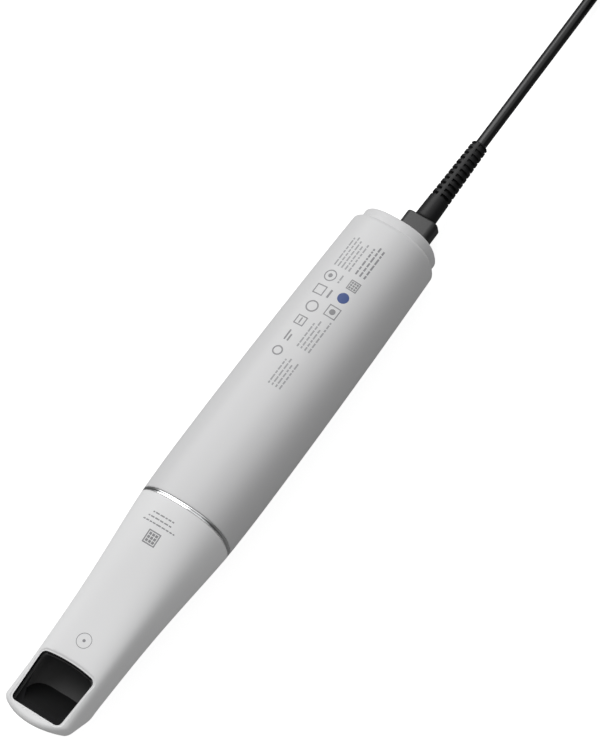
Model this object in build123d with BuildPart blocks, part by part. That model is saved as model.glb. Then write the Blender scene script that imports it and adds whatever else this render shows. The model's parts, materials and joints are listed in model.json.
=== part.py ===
"""A hand-held intraoral scanner, lying on its back with the scan window up.

X runs from the nose of the tip (-X) to the cable (+X), Y is across and Z is up.
The body is one lofted form: a slightly square oval that narrows through the
slide-on tip to a flat head with a slanted mirror behind its window.
"""

import os
from math import copysign, cos, pi, radians, sin, tan

from build123d import *

# Lengths along the scanner, nose to cable
TIP_LENGTH = 87.5
RING_LENGTH = 1.6
HOUSING_LENGTH = 122.6
CAP_SHOWS = 4.1

# Outer form: full widths, heights from the axis, and squareness of the section
RING_WIDTH = 35.2
CROWN_WIDTH = 36.1
REAR_WIDTH = 32.7
CROWN_BEHIND_RING = 24.0
RING_BELLY = 16.5
CROWN_BELLY = 16.9
REAR_BELLY = 16.2
END_BACK = 16.3
CROWN_BACK = 16.75
LAND_DROP = 16.35
SECTION_POWER = 2.46
SECTION_POINTS = 32

# Where each loft takes a section, as shares of its length, and turns of the eased rims
BODY_SHARES = (0.0, 0.18, 0.45, 0.72, 1.0)
TIP_SHARES = (0.0, 0.08, 0.2, 0.38, 0.62, 0.85, 1.0)
SNOUT_SHARES = (0.0, 0.25, 0.6, 1.0)
SEAM_TURNS = (0, 45, 90)
END_TURNS = (0, 30, 60, 90)

# Head of the tip
HEAD_WIDTH = 25.9
HEAD_BELLY = 7.0
HEAD_BACK = 8.9
HEAD_POWER = 4.2
HEAD_LENGTH = 17.5
FLARE_KEPT = 0.6
FLARE_EASED = 0.8
BELLY_FULLNESS = 0.8
SLANT_LENGTH = 15.0
SLANT_ANGLE = 42.0
NOSE_BOW = 22.0
BOW_TURN = 60.0
HEAD_ROUND = 1.6

# Scan window in the belly of the head
WINDOW_FRONT = 4.0
WINDOW_LENGTH = 19.5
WINDOW_FRONT_WIDTH = 20.0
WINDOW_REAR_WIDTH = 21.4
WINDOW_BOW = 1.0
WINDOW_CORNER = 2.0
WINDOW_LIP = 0.5
WINDOW_DEPTH = 3.8

# Walls and clearances
TIP_WALL = 1.4
LINER_WALL = 0.9
LINER_LENGTH = 40.0
MIRROR_THICKNESS = 1.1
HOUSING_WALL = 1.7
FIT = 0.05
CAP_CLEARANCE = 0.1
SLIDE_CLEARANCE = 0.3
SEAM_ROUND = 0.3
END_ROUND = 1.5

# Snout that the tip slides on
SNOUT_GAP = 3.5
SPIGOT_INSET = 3.4
SPIGOT_LENGTH = 8.0
COLLAR_LENGTH = 4.5
TUNNEL_FRONT = (19.0, 12.0)
TUNNEL_REAR = (23.0, 15.0)
TUNNEL_CORNER = 2.0
GLASS_THICKNESS = 1.1
GLASS_LIP = 1.0
SEAL_AHEAD = 9.0
SEAL_WIDTH = 2.0
SEAL_DEPTH = 0.9
SEAL_PROUD = 0.2

# Optical bench and the optics on it
BENCH_DROP = 5.0
BENCH_THICKNESS = 2.0
BENCH_REAR_ROOM = 18.3
BENCH_WIDTH = 26.0
FLANGE_THICKNESS = 2.0
FLANGE_WIDTH = 18.0
FLANGE_HEIGHT = 5.0
BENCH_SCREW_SPACING = 12.0
LENS_RISE = 1.0
MOUNT_LENGTH = 12.0
MOUNT_WIDTH = 26.0
MOUNT_HEIGHT = 12.0
PROJECTOR_DIAMETER = 9.0
PROJECTOR_WALL = 1.0
PROJECTOR_OVERHANG = 2.5
CAMERA_DIAMETER = 6.6
CAMERA_WALL = 0.8
CAMERA_OFFSET = 9.0
CAMERA_OVERHANG = 1.5
LENS_THICKNESS = 2.2
LENS_DOME = 0.5
LENS_SETBACK = 0.6
SENSOR_SIZE = 8.2
SENSOR_DEPTH = 3.0
SENSOR_BOARD = 1.0
BOX_GAP = 0.5
BOX_LENGTH = 17.5
BOX_WIDTH = 16.0
BOX_HEIGHT = 13.0
BOX_WALL = 1.5
SLIDE_THICKNESS = 1.0
CONDENSER_SETBACK = 9.0
CONDENSER_THICKNESS = 3.0
CONDENSER_ROUND = 1.0
LED_BOARD = 1.2
LED_SIZE = 3.0
LED_HEIGHT = 0.8
SINK_BASE = 3.0
SINK_LENGTH = 13.0
SINK_FINS = 6
SINK_FIN = 1.2

# Circuit boards under the bench
BOARD_BEHIND_RING = 44.0
BOARD_WIDTH = 22.0
BOARD_THICKNESS = 1.6
BOARD_DROP = 1.6
BOARD_MARGIN = 2.6
PROCESSOR_SIZE = 12.0
PROCESSOR_HEIGHT = 1.3
MEMORY_SIZE = (8.0, 10.0, 1.0)
MEMORY_SPACING = 18.0
PAD_THICKNESS = 0.8
BOSS_DIAMETER = 4.2
SCREW_DIAMETER = 2.0
SCREW_HEAD = (3.6, 1.2)
SCREW_LENGTH = 4.0

# Scan button on the back
BUTTON_BEHIND_RING = 27.0
BUTTON_SIZE = (13.0, 8.4)
BUTTON_RECESS = 0.6
BUTTON_EDGE = 0.4
BUTTON_TRAVEL = 0.4
BUTTON_FLANGE = (1.0, 0.8)
STEM_DIAMETER = 3.0
STEM_HEIGHT = 1.0
LIGHT_WIDTH = 1.4
LIGHT_RECESS = 0.5
LIGHT_FLANGE = (1.0, 0.7)
INNER_LAND = 2.6
LAND_BASE = 1.2
LAND_MARGIN = 1.2
SWITCH_SIZE = 6.0
SWITCH_HEIGHT = 2.0
BUTTON_BOARD = (20.0, 12.0, 1.0)
BUTTON_SCREW_SPACING = 16.0

# Rear cap, socket and its board
CAP_DEPTH = 14.0
CAP_WALL = 1.6
CAP_END_WALL = 2.2
CAP_ROUND = 1.5
GASKET_BEHIND = 3.0
GASKET_WIDTH = 2.0
GASKET_DEPTH = 0.8
PLUG_DROP = 8.2
TONGUE_SIZE = (7.6, 3.6)
TONGUE_LENGTH = 9.0
TONGUE_ROUND = 1.0
SOCKET_WALL = 0.9
IO_BOARD = (16.0, 15.0, 1.6)
IO_BOSS_OFFSET = 5.2
IO_BOSS_RISE = 3.4

# Cable: plug, slotted strain relief, lead, coil and host connector
PLUG_GAP = 0.3
PLUG_SIZE = (12.6, 7.6)
PLUG_CORNER = 2.2
PLUG_EDGE = 0.7
PLUG_LENGTH = 12.4
BOOT_LENGTH = 34.7
BOOT_FRONT = 8.0
BOOT_REAR = 6.2
BOOT_CORE = 5.0
SLOT_COUNT = 11
SLOT_PITCH = 2.35
SLOT_WIDTH = 1.1
SLOT_START = 9.6
SPINE_WIDTH = 1.3
CORD_DIAMETER = 4.2
ARC_SHARE = 0.45
COIL_COLUMNS = 4
COIL_LAYERS = 5
COIL_MIDDLE = 34.2
COIL_Z = 2.8
TAIL_COLUMN = 2
TAIL_CORNERS = 4
TAIL_TURN = 30.0
TIE_THICKNESS = 0.6
TIE_ARC = 22.0
CONNECTOR_LENGTH = 24.0
CONNECTOR_SIZE = (11.5, 6.4)
CONNECTOR_CORNER = 2.4
NECK_LENGTH = 6.0
NECK_DIAMETER = 5.6
SHELL_LENGTH = 6.6
SHELL_SIZE = (8.3, 2.5)
SHELL_WALL = 0.35
SHELL_CORNER = 1.2

# Stations and heights worked out from the sizes above
OVERALL = TIP_LENGTH + RING_LENGTH + HOUSING_LENGTH + CAP_SHOWS
NOSE_X = -OVERALL / 2
RING_X = NOSE_X + TIP_LENGTH
HOUSING_X = RING_X + RING_LENGTH
HOUSING_END_X = HOUSING_X + HOUSING_LENGTH
CAP_END_X = HOUSING_END_X + CAP_SHOWS
AXIS_Z = LAND_DROP
FLARE_LENGTH = TIP_LENGTH - HEAD_LENGTH
SNOUT_LENGTH = TIP_LENGTH - LINER_LENGTH - SNOUT_GAP
HEEL_X = NOSE_X + SLANT_LENGTH
HEEL_Z = AXIS_Z - HEAD_BACK
SPIGOT_END_X = RING_X + SPIGOT_LENGTH
CAP_INNER_X = CAP_END_X - CAP_END_WALL
CAP_FRONT_X = HOUSING_END_X - CAP_DEPTH + CAP_SHOWS
BENCH_END_X = CAP_FRONT_X - BENCH_REAR_ROOM
BENCH_LENGTH = BENCH_END_X - SPIGOT_END_X
BENCH_TOP = AXIS_Z - BENCH_DROP
BENCH_BOTTOM = BENCH_TOP - BENCH_THICKNESS
LENS_Z = AXIS_Z + LENS_RISE
MOUNT_X = SPIGOT_END_X + FLANGE_THICKNESS
MOUNT_END_X = MOUNT_X + MOUNT_LENGTH
BOX_X = MOUNT_END_X + SENSOR_DEPTH + SENSOR_BOARD + BOX_GAP
BOX_Z = BENCH_TOP + BOX_HEIGHT / 2
BUTTON_X = RING_X + BUTTON_BEHIND_RING
LIGHT_TOP = INNER_LAND + LIGHT_FLANGE[1]
BUTTON_FLANGE_Z = LIGHT_TOP + SLIDE_CLEARANCE
BUTTON_TOP = BUTTON_FLANGE_Z + BUTTON_FLANGE[1]
SWITCH_Z = BUTTON_TOP + BUTTON_TRAVEL + SLIDE_CLEARANCE
SWITCH_TOP = SWITCH_Z + SWITCH_HEIGHT
BUTTON_BOARD_TOP = SWITCH_TOP + BUTTON_BOARD[2]
BOARD_LENGTH = BENCH_END_X - RING_X - BOARD_BEHIND_RING
BOARD_X = BENCH_END_X - BOARD_LENGTH / 2
BOARD_TOP = BENCH_BOTTOM - BOARD_DROP
BOARD_BOTTOM = BOARD_TOP - BOARD_THICKNESS
PROCESSOR_BOTTOM = BOARD_BOTTOM - PROCESSOR_HEIGHT
PAD_BOTTOM = PROCESSOR_BOTTOM - PAD_THICKNESS
PLUG_Z = AXIS_Z - PLUG_DROP
IO_X = CAP_FRONT_X
IO_END_X = IO_X + IO_BOARD[2]
PLUG_X = CAP_END_X + PLUG_GAP
BOOT_X = PLUG_X + PLUG_LENGTH
CORD_X = BOOT_X + BOOT_LENGTH
TIP_INSET = TIP_WALL + FIT
MIRROR_INSET = TIP_INSET + LINER_WALL
SNOUT_INSET = TIP_WALL + SLIDE_CLEARANCE
CAP_INSET = HOUSING_WALL + CAP_CLEARANCE
REACH = 2 * CROWN_WIDTH

# Route of the lead where it isn't coiled: out of the strain relief, down, along the floor
CORD_ROUTE = [
    (CORD_X, 0.0, PLUG_Z),
    (CORD_X + 23.5, 0.0, PLUG_Z),
    (CORD_X + 55.5, 1.0, 5.4),
    (CORD_X + 83.5, 2.0, 2.9),
    (CORD_X + 103.5, 2.1, COIL_Z),
]

# The coil that the lead runs into, and the connector on top of it
COIL_WIDTH = COIL_COLUMNS * CORD_DIAMETER
COIL_HEIGHT = COIL_LAYERS * CORD_DIAMETER
COIL_OUTER = (COIL_MIDDLE + COIL_WIDTH - CORD_DIAMETER) / 2
COIL_X = CORD_ROUTE[-1][0]
COIL_Y = CORD_ROUTE[-1][1] - COIL_OUTER
COIL_BASE = COIL_Z - CORD_DIAMETER / 2
COIL_TOP = COIL_BASE + COIL_HEIGHT
CONNECTOR_Z = COIL_TOP + CONNECTOR_SIZE[1] / 2
TAIL_END_Z = COIL_TOP - CORD_DIAMETER / 2
TAIL_RADIUS = COIL_OUTER - TAIL_COLUMN * CORD_DIAMETER


def coil_point(radius, turn, z):
    """A point at a radius and a turn in degrees about the coil's axis, clockwise as seen from above."""
    return (COIL_X + radius * cos(radians(turn)), COIL_Y - radius * sin(radians(turn)), z)


def tail_route():
    """Last stretch of the lead: from the connector's neck back round the coil and down into it."""
    route = [coil_point(TAIL_RADIUS, -90, CONNECTOR_Z)]
    for corner in range(TAIL_CORNERS):
        share = (corner + 0.5) / TAIL_CORNERS
        turn = -90 - TAIL_CORNERS * TAIL_TURN * share
        z = CONNECTOR_Z + (TAIL_END_Z - CONNECTOR_Z) * share
        route.append(coil_point(TAIL_RADIUS / cos(radians(TAIL_TURN / 2)), turn, z))
    return route + [coil_point(TAIL_RADIUS, -90 - TAIL_CORNERS * TAIL_TURN, TAIL_END_Z)]


def flare(share):
    """How much of the ring's size is left at a share of the way from the ring to the head."""
    ease = (1 + cos(pi * min(share / FLARE_EASED, 1))) / 2
    return (1 - share) * (FLARE_KEPT + (1 - FLARE_KEPT) * ease)


def form(x):
    """Half width, rise to the belly, drop to the back and squareness at station x."""
    ahead = RING_X - x
    if ahead > 0:
        share = flare(min(ahead / FLARE_LENGTH, 1))
        return (
            (HEAD_WIDTH + (RING_WIDTH - HEAD_WIDTH) * share) / 2,
            HEAD_BELLY + (RING_BELLY - HEAD_BELLY) * share**BELLY_FULLNESS,
            HEAD_BACK + (END_BACK - HEAD_BACK) * share,
            HEAD_POWER + (SECTION_POWER - HEAD_POWER) * share,
        )
    behind = -ahead
    body = HOUSING_END_X - RING_X
    if behind < CROWN_BEHIND_RING:
        fall = ((CROWN_BEHIND_RING - behind) / CROWN_BEHIND_RING) ** 2
        end_width, end_belly = RING_WIDTH, RING_BELLY
    else:
        fall = ((behind - CROWN_BEHIND_RING) / (body - CROWN_BEHIND_RING)) ** 2
        end_width, end_belly = REAR_WIDTH, REAR_BELLY
    sag = (2 * behind / body - 1) ** 2
    return (
        (CROWN_WIDTH + (end_width - CROWN_WIDTH) * fall) / 2,
        CROWN_BELLY + (end_belly - CROWN_BELLY) * fall,
        CROWN_BACK + (END_BACK - CROWN_BACK) * sag,
        SECTION_POWER,
    )


def rounded_power(value, power):
    """The signed power that squares up an oval."""
    return copysign(abs(value) ** (2 / power), value)


def section(x, inset=0.0):
    """The outer form's section at station x, drawn in by inset all round."""
    half_width, belly, back, power = form(x)
    points = []
    for step in range(SECTION_POINTS):
        turn = 2 * pi * step / SECTION_POINTS - pi / 2
        height = (belly if sin(turn) >= 0 else back) - inset
        points.append(
            (
                (half_width - inset) * rounded_power(cos(turn), power),
                AXIS_Z + height * rounded_power(sin(turn), power),
            )
        )
    with BuildSketch(Plane.YZ.offset(x)) as outline:
        with BuildLine():
            Spline(*points, periodic=True)
        make_face()
    return outline.sketch


def band(x, length, outer_inset, inner_inset):
    """A ring of the form's section at station x, between two insets."""
    outer, inner = section(x, outer_inset), section(x, inner_inset)
    with BuildPart() as ring:
        extrude(to_extrude=outer, amount=length)
        extrude(to_extrude=inner, amount=length, mode=Mode.SUBTRACT)
    return ring.part


def body_loft(start, end, inset=0.0):
    """The housing's form between two stations, drawn in by inset."""
    sections = [section(start + (end - start) * share, inset) for share in BODY_SHARES]
    with BuildPart() as solid:
        loft(sections=sections)
    return solid.part


def rim_loft(start, depth, turns):
    """A rim of the housing from start over depth, eased along a quarter round at the given turns."""
    sections = [
        section(start + depth * sin(radians(turn)), abs(depth) * (1 - cos(radians(turn)))) for turn in turns
    ]
    with BuildPart() as solid:
        loft(sections=sections)
    return solid.part


def tip_form(inset):
    """The tip's form drawn in by inset: lofted, then cut to its slanted back and bowed nose."""
    stations = [RING_X - FLARE_LENGTH * share for share in TIP_SHARES] + [NOSE_X - HEAD_ROUND]
    sections = [section(x, inset) for x in stations]
    heel = HEEL_X + inset / sin(radians(SLANT_ANGLE))
    slope = tan(radians(SLANT_ANGLE))
    low, high = AXIS_Z - REACH, AXIS_Z + REACH
    front, bow = NOSE_X + inset, NOSE_BOW - inset
    half_chord = bow * sin(radians(BOW_TURN))
    chord_x = front + bow * (1 - cos(radians(BOW_TURN)))
    with BuildPart() as solid:
        loft(sections=sections)
        with BuildSketch(Plane.XZ):
            with BuildLine():
                Polyline(
                    (heel + (HEEL_Z - low) / slope, low),
                    (heel + (HEEL_Z - high) / slope, high),
                    (RING_X + REACH, high),
                    (RING_X + REACH, low),
                    close=True,
                )
            make_face()
        extrude(amount=REACH, both=True, mode=Mode.INTERSECT)
        with BuildSketch(Plane.XY):
            with BuildLine():
                ThreePointArc((chord_x, -half_chord), (front, 0), (chord_x, half_chord))
                Polyline(
                    (chord_x, half_chord),
                    (RING_X + REACH, REACH),
                    (RING_X + REACH, -REACH),
                    (chord_x, -half_chord),
                )
            make_face()
        extrude(amount=REACH, both=True, mode=Mode.INTERSECT)
    return solid.part


def window_outline(lip):
    """The scan window's outline in plan, drawn in by lip: straight in front, bowed behind."""
    front = NOSE_X + WINDOW_FRONT + lip
    rear = NOSE_X + WINDOW_FRONT + WINDOW_LENGTH - lip
    front_half = WINDOW_FRONT_WIDTH / 2 - lip
    rear_half = WINDOW_REAR_WIDTH / 2 - lip
    with BuildSketch(Plane.XY.offset(AXIS_Z + HEAD_BELLY - WINDOW_DEPTH)) as outline:
        with BuildLine():
            Polyline((rear, rear_half), (front, front_half), (front, -front_half), (rear, -rear_half))
            ThreePointArc((rear, -rear_half), (rear + WINDOW_BOW, 0), (rear, rear_half))
        make_face()
        fillet(outline.vertices(), WINDOW_CORNER)
    return outline.sketch


def screws(places):
    """Small pan-head screws, each driven along its plane's normal from under its head."""
    with BuildPart() as group:
        for place in places:
            with BuildSketch(place):
                Circle(SCREW_DIAMETER / 2)
            extrude(amount=SCREW_LENGTH)
            with BuildSketch(place):
                Circle(SCREW_HEAD[0] / 2)
            extrude(amount=-SCREW_HEAD[1])
    return group


def slab(centre, size):
    """A plain block, given its centre and its full sizes."""
    with BuildPart() as block:
        with Locations(centre):
            Box(*size)
    return block


def lens(x, y, diameter, thickness):
    """A lens on the optical height, domed in front, with its flat rear face thickness behind x."""
    dome = thickness * LENS_DOME
    rim_x, rear_x = x + dome, x + thickness
    top = diameter / 2
    with BuildPart() as glass:
        with BuildSketch(Plane((0, y, LENS_Z), x_dir=(1, 0, 0), z_dir=(0, -1, 0))):
            with BuildLine():
                ThreePointArc((x, 0), (x + dome / 4, top / 2), (rim_x, top))
                Polyline((rim_x, top), (rear_x, top), (rear_x, 0), (x, 0))
            make_face()
        revolve(axis=Axis((0, y, LENS_Z), (1, 0, 0)))
    return glass


def barrel(x, y, length, diameter, wall):
    """A plain lens tube along X on the optical height."""
    with BuildPart() as tube:
        with BuildSketch(Plane((x, y, LENS_Z), x_dir=(0, 1, 0), z_dir=(1, 0, 0))):
            Circle(diameter / 2)
            Circle(diameter / 2 - wall, mode=Mode.SUBTRACT)
        extrude(amount=length)
    return tube


def lead(points):
    """A stretch of the lead: straight runs joined by the largest arcs that they leave room for."""
    route = [Vector(*point) for point in points]
    radii = []
    for before, corner, after in zip(route, route[1:], route[2:]):
        run = min((corner - before).length, (after - corner).length)
        turn = (corner - before).get_angle(after - corner)
        radii.append(ARC_SHARE * run / tan(radians(turn / 2)))
    with BuildPart() as tube:
        with BuildLine():
            path = FilletPolyline(*route, radius=radii)
        with BuildSketch(Plane(route[0], z_dir=path % 0)):
            Circle(CORD_DIAMETER / 2)
        sweep()
    expected = pi * CORD_DIAMETER**2 / 4 * path.length
    print("lead radii", [round(radius) for radius in radii], "volume", tube.part.volume, "of", expected)
    return tube


slant_normal = Vector(sin(radians(SLANT_ANGLE)), 0, cos(radians(SLANT_ANGLE)))
mirror_face = Plane(
    Vector(HEEL_X, 0, HEEL_Z) + slant_normal * (MIRROR_INSET + FIT + MIRROR_THICKNESS),
    z_dir=slant_normal,
)
tip_outer = tip_form(0)
tip_cavity = tip_form(TIP_WALL)
liner_outer = tip_form(TIP_INSET)
liner_cavity = tip_form(MIRROR_INSET)
mirror_room = tip_form(MIRROR_INSET + FIT)
shell_window = window_outline(0)
liner_window = window_outline(WINDOW_LIP)

# Outer shell of the slide-on tip
with BuildPart() as tip_shell:
    add(tip_outer)
    fillet(tip_shell.edges().filter_by_position(Axis.X, NOSE_X, HEEL_X), HEAD_ROUND)
    add(tip_cavity, mode=Mode.SUBTRACT)
    extrude(to_extrude=shell_window, amount=REACH, mode=Mode.SUBTRACT)

# Black sleeve inside the head, which carries the mirror
with BuildPart() as tip_liner:
    add(liner_outer)
    add(liner_cavity, mode=Mode.SUBTRACT)
    split(bisect_by=Plane.YZ.offset(NOSE_X + LINER_LENGTH), keep=Keep.BOTTOM)
    extrude(to_extrude=liner_window, amount=REACH, mode=Mode.SUBTRACT)

# Mirror on the slanted end of the liner
with BuildPart() as tip_mirror:
    add(mirror_room)
    split(bisect_by=mirror_face, keep=Keep.BOTTOM)
    split(bisect_by=Plane.XY.offset(AXIS_Z + HEAD_BELLY - WINDOW_DEPTH), keep=Keep.BOTTOM)

spigot = section(RING_X, SPIGOT_INSET)
spigot_bore = section(RING_X, SPIGOT_INSET - FIT)
ring_sections = [
    section(RING_X, SEAM_ROUND),
    section(RING_X + SEAM_ROUND),
    section(HOUSING_X - SEAM_ROUND),
    section(HOUSING_X, SEAM_ROUND),
]
collar = section(HOUSING_X, HOUSING_WALL + FIT)

# Polished ring between the tip and the housing, with a collar inside the housing
with BuildPart() as front_ring:
    loft(sections=ring_sections, ruled=True)
    extrude(to_extrude=collar, amount=COLLAR_LENGTH)
    extrude(to_extrude=spigot_bore, amount=RING_LENGTH + COLLAR_LENGTH, mode=Mode.SUBTRACT)

bench_screw_places = [
    Plane((MOUNT_X, y, BENCH_BOTTOM - FLANGE_HEIGHT / 2), x_dir=(0, 1, 0), z_dir=(-1, 0, 0))
    for y in (-BENCH_SCREW_SPACING / 2, BENCH_SCREW_SPACING / 2)
]
snout_sections = [section(RING_X - SNOUT_LENGTH * share, SNOUT_INSET) for share in SNOUT_SHARES]
seal_x = RING_X - SEAL_AHEAD
seal_groove = band(seal_x, SEAL_WIDTH, 0, SNOUT_INSET + SEAL_DEPTH)
snout_x = RING_X - SNOUT_LENGTH

# Barrel that the tip slides on, with the light tunnel through it
with BuildPart() as snout:
    loft(sections=snout_sections)
    extrude(to_extrude=spigot, amount=SPIGOT_LENGTH)
    add(seal_groove, mode=Mode.SUBTRACT)
    with BuildSketch(Plane((snout_x, 0, AXIS_Z), x_dir=(0, 1, 0), z_dir=(1, 0, 0))):
        RectangleRounded(*TUNNEL_FRONT, TUNNEL_CORNER)
    with BuildSketch(Plane((SPIGOT_END_X, 0, AXIS_Z + LENS_RISE), x_dir=(0, 1, 0), z_dir=(1, 0, 0))):
        RectangleRounded(*TUNNEL_REAR, TUNNEL_CORNER)
    loft(mode=Mode.SUBTRACT)
    with BuildSketch(Plane((snout_x, 0, AXIS_Z), x_dir=(0, 1, 0), z_dir=(1, 0, 0))):
        RectangleRounded(TUNNEL_FRONT[0] + 2 * GLASS_LIP, TUNNEL_FRONT[1] + 2 * GLASS_LIP, TUNNEL_CORNER)
    extrude(amount=GLASS_THICKNESS + FIT, mode=Mode.SUBTRACT)
    for place in bench_screw_places:
        with BuildSketch(place):
            Circle(SCREW_DIAMETER / 2 + FIT)
        extrude(amount=SCREW_LENGTH + FIT, mode=Mode.SUBTRACT)

# Window glass let into the front of the snout
with BuildPart() as snout_glass:
    with BuildSketch(Plane((snout_x + FIT, 0, AXIS_Z), x_dir=(0, 1, 0), z_dir=(1, 0, 0))):
        RectangleRounded(
            TUNNEL_FRONT[0] + 2 * (GLASS_LIP - FIT), TUNNEL_FRONT[1] + 2 * (GLASS_LIP - FIT), TUNNEL_CORNER
        )
    extrude(amount=GLASS_THICKNESS)

seal_band = band(seal_x + FIT, SEAL_WIDTH - 2 * FIT, SNOUT_INSET - SEAL_PROUD, SNOUT_INSET + SEAL_DEPTH - FIT)

# Rubber seal in the snout's groove, which grips the tip
with BuildPart() as snout_seal:
    add(seal_band)

housing_outer = body_loft(HOUSING_X + SEAM_ROUND, HOUSING_END_X - END_ROUND)
housing_front = rim_loft(HOUSING_X + SEAM_ROUND, -SEAM_ROUND, SEAM_TURNS)
housing_rear = rim_loft(HOUSING_END_X - END_ROUND, END_ROUND, END_TURNS)
housing_room = body_loft(HOUSING_X, HOUSING_END_X, HOUSING_WALL)
light_size = [size + 2 * (SLIDE_CLEARANCE + LIGHT_WIDTH) for size in BUTTON_SIZE]
light_flange_size = [size + 2 * LIGHT_FLANGE[0] for size in light_size]

# One-piece housing tube with a flat land along its back
with BuildPart() as housing:
    add(housing_outer)
    add(housing_front)
    add(housing_rear)
    split(bisect_by=Plane.XY, keep=Keep.TOP)
    add(housing_room, mode=Mode.SUBTRACT)
    land_height = INNER_LAND - LAND_BASE
    with Locations((BUTTON_X, 0, LAND_BASE + land_height / 2)):
        Box(light_flange_size[0] + 2 * LAND_MARGIN, light_flange_size[1] + LAND_MARGIN, land_height)
    with Locations((BOARD_X, 0, LAND_BASE + land_height / 2)):
        Box(PROCESSOR_SIZE + 2 * LAND_MARGIN, PROCESSOR_SIZE + LAND_MARGIN, land_height)
    with BuildSketch(Plane((BUTTON_X, 0, 0))):
        SlotOverall(light_size[0] + 2 * FIT, light_size[1] + 2 * FIT)
    extrude(amount=INNER_LAND, mode=Mode.SUBTRACT)

# Light ring around the button, seated on the land inside the housing
with BuildPart() as button_light:
    with BuildSketch(Plane((BUTTON_X, 0, LIGHT_RECESS))):
        SlotOverall(*light_size)
    extrude(amount=INNER_LAND - LIGHT_RECESS)
    with BuildSketch(Plane((BUTTON_X, 0, INNER_LAND))):
        SlotOverall(*light_flange_size)
    extrude(amount=LIGHT_FLANGE[1])
    with BuildSketch(Plane((BUTTON_X, 0, LIGHT_RECESS))):
        SlotOverall(BUTTON_SIZE[0] + 2 * SLIDE_CLEARANCE, BUTTON_SIZE[1] + 2 * SLIDE_CLEARANCE)
    extrude(amount=LIGHT_TOP - LIGHT_RECESS, mode=Mode.SUBTRACT)

# Scan button, held in by its flange, with a stem towards the switch
with BuildPart() as scan_button:
    with BuildSketch(Plane((BUTTON_X, 0, BUTTON_RECESS))):
        SlotOverall(*BUTTON_SIZE)
    extrude(amount=BUTTON_FLANGE_Z - BUTTON_RECESS)
    fillet(scan_button.edges().group_by(Axis.Z)[0], BUTTON_EDGE)
    with BuildSketch(Plane((BUTTON_X, 0, BUTTON_FLANGE_Z))):
        SlotOverall(BUTTON_SIZE[0] + 2 * BUTTON_FLANGE[0], BUTTON_SIZE[1] + 2 * BUTTON_FLANGE[0])
    extrude(amount=BUTTON_FLANGE[1])
    with BuildSketch(Plane((BUTTON_X, 0, BUTTON_TOP))):
        Circle(STEM_DIAMETER / 2)
    extrude(amount=STEM_HEIGHT)

# Switch above the button, with a well that the stem presses into
with BuildPart() as button_switch:
    with BuildSketch(Plane((BUTTON_X, 0, SWITCH_Z))):
        Rectangle(SWITCH_SIZE, SWITCH_SIZE)
    extrude(amount=SWITCH_HEIGHT)
    with BuildSketch(Plane((BUTTON_X, 0, SWITCH_Z))):
        Circle(STEM_DIAMETER / 2 + SLIDE_CLEARANCE)
    extrude(amount=STEM_HEIGHT, mode=Mode.SUBTRACT)

button_screw_places = [
    Plane((BUTTON_X + side * BUTTON_SCREW_SPACING / 2, 0, SWITCH_TOP)) for side in (-1, 1)
]
corner_x = BOARD_LENGTH / 2 - BOARD_MARGIN
corner_y = BOARD_WIDTH / 2 - BOARD_MARGIN
board_screw_places = [
    Plane((BOARD_X + x, y, BOARD_BOTTOM)) for x in (-corner_x, corner_x) for y in (-corner_y, corner_y)
]

# Small board that carries the switch
with BuildPart() as button_board:
    with Locations((BUTTON_X, 0, SWITCH_TOP + BUTTON_BOARD[2] / 2)):
        Box(*BUTTON_BOARD)
    for place in button_screw_places:
        with BuildSketch(place):
            Circle(SCREW_DIAMETER / 2 + FIT)
        extrude(amount=BUTTON_BOARD[2], mode=Mode.SUBTRACT)

# Bench plate with a front flange screwed to the snout and bosses for the boards
with BuildPart() as optical_bench:
    with Locations((SPIGOT_END_X + BENCH_LENGTH / 2, 0, BENCH_TOP - BENCH_THICKNESS / 2)):
        Box(BENCH_LENGTH, BENCH_WIDTH, BENCH_THICKNESS)
    with Locations((SPIGOT_END_X + FLANGE_THICKNESS / 2, 0, BENCH_BOTTOM - FLANGE_HEIGHT / 2)):
        Box(FLANGE_THICKNESS, FLANGE_WIDTH, FLANGE_HEIGHT)
    for place in button_screw_places:
        with BuildSketch(place.offset(BUTTON_BOARD[2])):
            Circle(BOSS_DIAMETER / 2)
        extrude(amount=BENCH_BOTTOM - BUTTON_BOARD_TOP)
    for place in board_screw_places:
        with BuildSketch(place.offset(BOARD_THICKNESS)):
            Circle(BOSS_DIAMETER / 2)
        extrude(amount=BOARD_DROP)
    for place in button_screw_places + board_screw_places + bench_screw_places:
        with BuildSketch(place):
            Circle(SCREW_DIAMETER / 2 + FIT)
        extrude(amount=SCREW_LENGTH + FIT, mode=Mode.SUBTRACT)

board_screws = screws(button_screw_places + board_screw_places)
bench_screws = screws(bench_screw_places)

# Block that holds the projector between the two cameras
with BuildPart() as lens_mount:
    with Locations((MOUNT_X + MOUNT_LENGTH / 2, 0, BENCH_TOP + MOUNT_HEIGHT / 2)):
        Box(MOUNT_LENGTH, MOUNT_WIDTH, MOUNT_HEIGHT)
    with BuildSketch(Plane((MOUNT_X, 0, LENS_Z), x_dir=(0, 1, 0), z_dir=(1, 0, 0))):
        Circle(PROJECTOR_DIAMETER / 2 + FIT)
        with Locations((-CAMERA_OFFSET, 0), (CAMERA_OFFSET, 0)):
            Circle(CAMERA_DIAMETER / 2 + FIT)
    extrude(amount=MOUNT_LENGTH, mode=Mode.SUBTRACT)

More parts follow.
